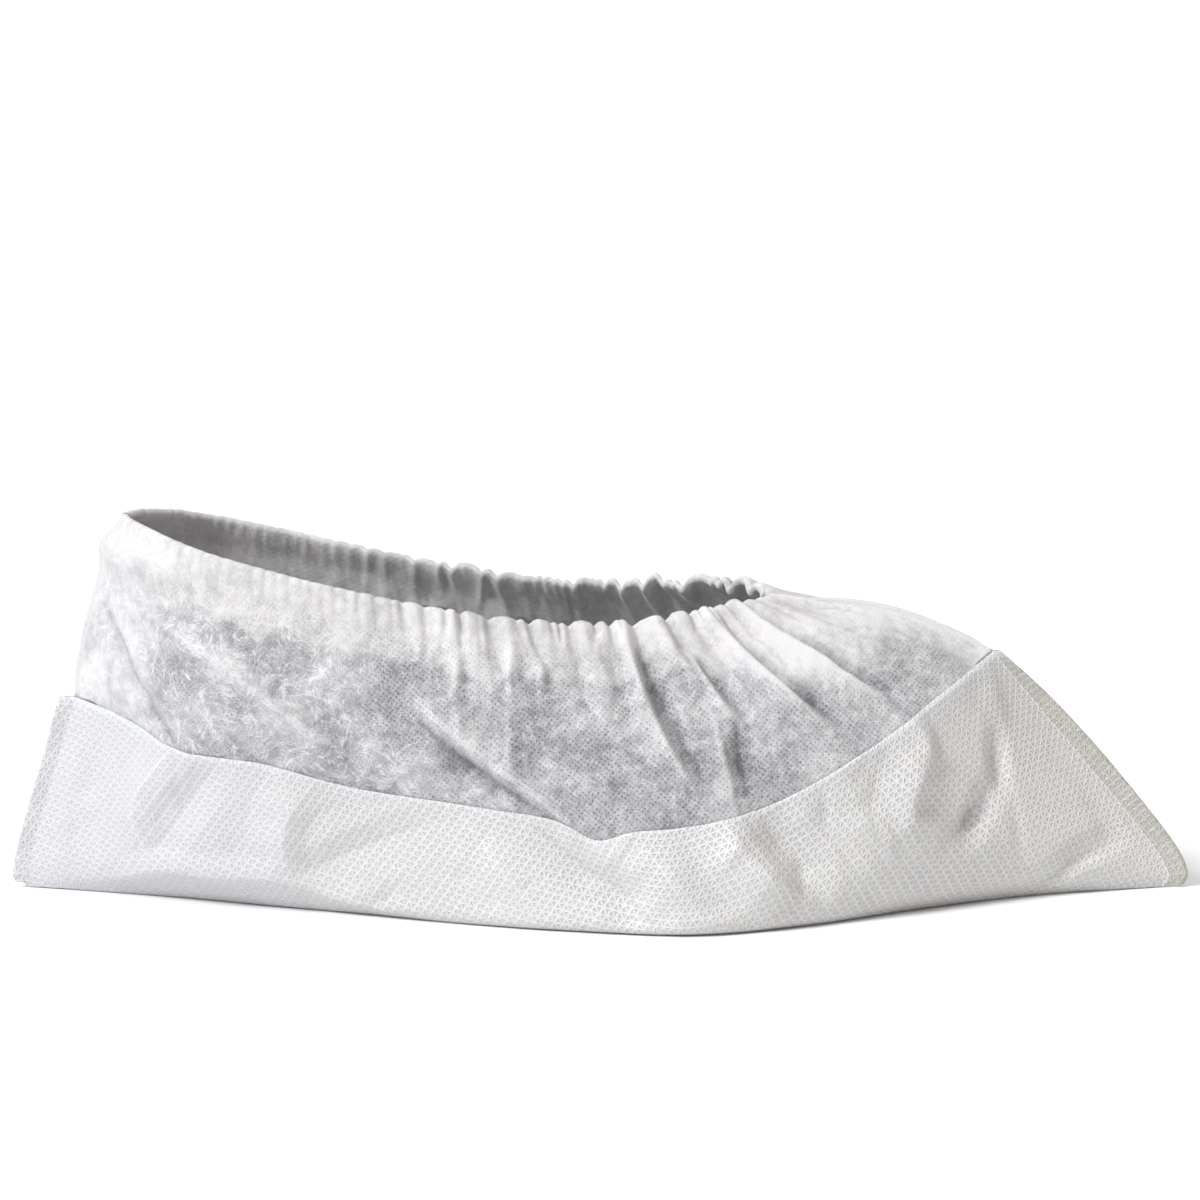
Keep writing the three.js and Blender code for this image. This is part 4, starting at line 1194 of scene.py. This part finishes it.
def nonwoven_material():
    material, n = new_material("nonwoven_cloth")
    place = n.cloth_mm()
    forward = n.along(place, 1)
    hem, seam, inside_shade = n.attribute("hem"), n.attribute("seam"), n.attribute("inside_shade")
    crease, fold_shade = n.attribute("crease"), n.attribute("fold_shade")
    dots = bond_points(n, place)
    hairs, streaks = fibres(n, place)
    # in places the fibres lie looser and hide the bond points
    looser = n.ramp(forward, -110, 30, 0.3, -0.28)
    loose = n.ramp(n.add(n.noise(place, 0.03, 2.0), looser), 0.4, 0.62)
    hairs = n.times(hairs, n.ramp(loose, 0, 1, 0.26, 0.6))
    threads = n.add(hairs, n.ramp(streaks, 1.35, 1.9, 0.0, 0.35))
    clouds = n.ramp(n.noise(place, 0.055, 3.0, 0.5), 0.3, 0.7, -0.13, 0.13)
    tufts = n.ramp(n.noise(place, 0.33, 3.0, 0.75), 0.3, 0.7, -0.12, 0.12)
    # painted shade: the cloth is painted darker where the shade of its inside would show through it, and a
    # little less so towards the toe
    tone = n.add(n.ramp(inside_shade, 0.0, 1.0, 0.74, 0.38), n.ramp(forward, 50, 110, 0.0, 0.12))
    # the bond points are thinner and are painted with more of that shade
    spotted = n.times(n.ramp(inside_shade, 0, 1, 0.12, 0.4), n.ramp(loose, 0, 1, 1.0, 0.3))
    spotted = n.times(spotted, n.ramp(n.noise(place, 0.5, 1.0), 0.3, 0.65, 0.3, 1.15))
    threads = n.times(threads, n.ramp(inside_shade, 0, 1, 0.3, 0.6))
    # the cloth's own fibre density together with the painted shade of its inside
    density_and_shade = n.add(n.add(tone, clouds), n.add(tufts, threads))
    density_and_shade = n.math("SUBTRACT", density_and_shade, n.times(dots, spotted))
    # painted highlight and shade: lighter on fold ridges and crease lines, darker in valleys
    density_and_shade = n.add(n.add(density_and_shade, n.times(fold_shade, 0.16)), n.times(crease, 0.2))
    # the hem's double layer hides part of the painted shade
    doubled = n.times(n.times(hem, inside_shade), 0.23)
    density_and_shade = n.add(density_and_shade, n.math("MAXIMUM", doubled, n.times(seam, 0.3)), clamp=True)
    # thin cloth is painted nearly black, as the shade of the inside seen through it; dense cloth is near
    # white
    colour = n.mix_color(density_and_shade, (0.17, 0.17, 0.19), (0.88, 0.87, 0.875))
    colour = n.mix_color(n.times(hem, 0.2), colour, (0.80, 0.77, 0.74))
    shader = n.node("ShaderNodeBsdfPrincipled")
    n.link(colour, shader.inputs["Base Color"])
    shader.inputs["Roughness"].default_value = 0.85
    shader.inputs["Sheen Weight"].default_value = 0.2
    n.bump(shader, n.times(dots, -0.8), 0.5, 0.00015)
    n.finish(n.glowing(shader, (0.88, 0.88, 0.9), 0.3)[0])
    return material


ELASTIC_PITCH = 0.6


def elastic_material():
    material, n = new_material("elastic_rubber")
    rings = n.math("SINE", n.along(n.cloth_mm(), 2 * math.pi / ELASTIC_PITCH))
    shader = n.node("ShaderNodeBsdfPrincipled")
    colour = n.mix_color(n.ramp(rings, -1, 1), (0.74, 0.64, 0.48), (0.86, 0.79, 0.66))
    n.link(colour, shader.inputs["Base Color"])
    shader.inputs["Roughness"].default_value = 0.6
    n.bump(shader, rings, 0.4, 0.0001)
    n.finish(shader)
    return material


def floor_material():
    material, n = new_material("pale_floor")
    shader = n.node("ShaderNodeBsdfPrincipled")
    shader.inputs["Base Color"].default_value = (0.93, 0.93, 0.935, 1)
    shader.inputs["Roughness"].default_value = 0.9
    n.finish(shader)
    return material


# ---------------------------------------------------------------- the pieces
laminate, nonwoven, rubber = laminate_material(), nonwoven_material(), elastic_material()

points, faces, uv, values = sole_cover()
sole = make_mesh("sole_cover_cloth", points, faces, uv, values, laminate)
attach(sole, "root")
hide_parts("sole_cover")

rims = {}
uppers = {}
for side in SIGN:
    points, faces, uv, values, rims[side] = upper_panel(side)
    uppers[side] = make_mesh(f"upper_{side}_cloth", points, faces, uv, values, nonwoven)
    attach(uppers[side], "root")
    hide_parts(f"upper_{side}")

# the elastic runs to the toe inside the right hem and comes back inside the left one
ELASTIC_SIDES = 10
ELASTIC_FACET = 0.4  # the width that the flat cloth's map gives each of its sides
path = np.concatenate([rims["right"], rims["left"][1:-1][::-1]])
path[[0, UPPER_COLUMNS], 1] = 0
points, faces = tube(path, ELASTIC_RADIUS, ELASTIC_SIDES)
run = np.repeat(lengths(path), ELASTIC_SIDES)
around = np.tile(np.arange(ELASTIC_SIDES) * ELASTIC_FACET, len(path))
elastic = make_mesh("elastic_cord", points, faces, np.stack([run, around], 1), {}, rubber)
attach(elastic, "root")
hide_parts("elastic_thread")

# ---------------------------------------------------------------- floor, light and camera
FLOOR_SIZE = 16.0
FLOOR_DROP = 0.0003
half = FLOOR_SIZE / 2
mesh = bpy.data.meshes.new("floor")
corners = [(-half, -half, 0), (half, -half, 0), (half, half, 0), (-half, half, 0)]
mesh.from_pydata(corners, [], [(0, 1, 2, 3)])
mesh.materials.append(floor_material())
floor = bpy.data.objects.new("floor", mesh)
floor.location.z = -FLOOR_DROP
bpy.context.scene.collection.objects.link(floor)

low, high = cad_box
middle = Vector(((low.x + high.x) / 2, (low.y + high.y) / 2, 0))

# The studio's light comes from all round, cooler and stronger from the left, warmer from the right.
world = bpy.data.worlds.new("studio")
world.use_nodes = True
n = Nodes(world.node_tree)
direction = n.node("ShaderNodeTexCoord").outputs["Generated"]
rightwards = n.ramp(n.along(direction, 1), -0.8, 0.8)
around = n.mix_color(rightwards, (0.50, 0.50, 0.53), (0.29, 0.268, 0.235))
n.link(around, world.node_tree.nodes["Background"].inputs["Color"])
bpy.context.scene.world = world


def look(name, data, target, azimuth, elevation, distance):
    """A lamp or camera that looks at the target from this direction, in degrees, and distance."""
    a, e = math.radians(azimuth), math.radians(elevation)
    back = Vector((math.sin(a) * math.cos(e), -math.cos(a) * math.cos(e), math.sin(e)))
    made = bpy.data.objects.new(name, data)
    made.location = target + back * distance
    made.rotation_mode = "QUATERNION"
    made.rotation_quaternion = (-back).to_track_quat("-Z", "Y")
    bpy.context.scene.collection.objects.link(made)
    return made


SUN_DISTANCE = 3
# name, azimuth, elevation, degrees across, strength, colour
SUNS = [
    ("key", -52, 42, 18, 2.6, (0.985, 0.99, 1.0)),
    ("top", 20, 80, 60, 1.1, (1.0, 1.0, 1.0)),
]
for name, azimuth, elevation, across, strength, colour in SUNS:
    data = bpy.data.lights.new(name, "SUN")
    data.angle = math.radians(across)
    data.energy = strength
    data.color = colour
    look(name, data, middle, azimuth, elevation, SUN_DISTANCE)

CAMERA_ELEVATION = 10.5
CAMERA_DISTANCE = 1.6
CAMERA_LENS = 160.8
CAMERA_SENSOR = 36
AIM_SHARE = 0.767  # the height that the camera looks at, as a share of the object's
data = bpy.data.cameras.new("camera")
data.lens = CAMERA_LENS
data.sensor_width = CAMERA_SENSOR
data.clip_start = 0.1
data.clip_end = 50
aim = middle + Vector((0, 0, high.z * AIM_SHARE))
bpy.context.scene.camera = look("camera", data, aim, 0, CAMERA_ELEVATION, CAMERA_DISTANCE)
bpy.context.scene.view_settings.view_transform = "Standard"
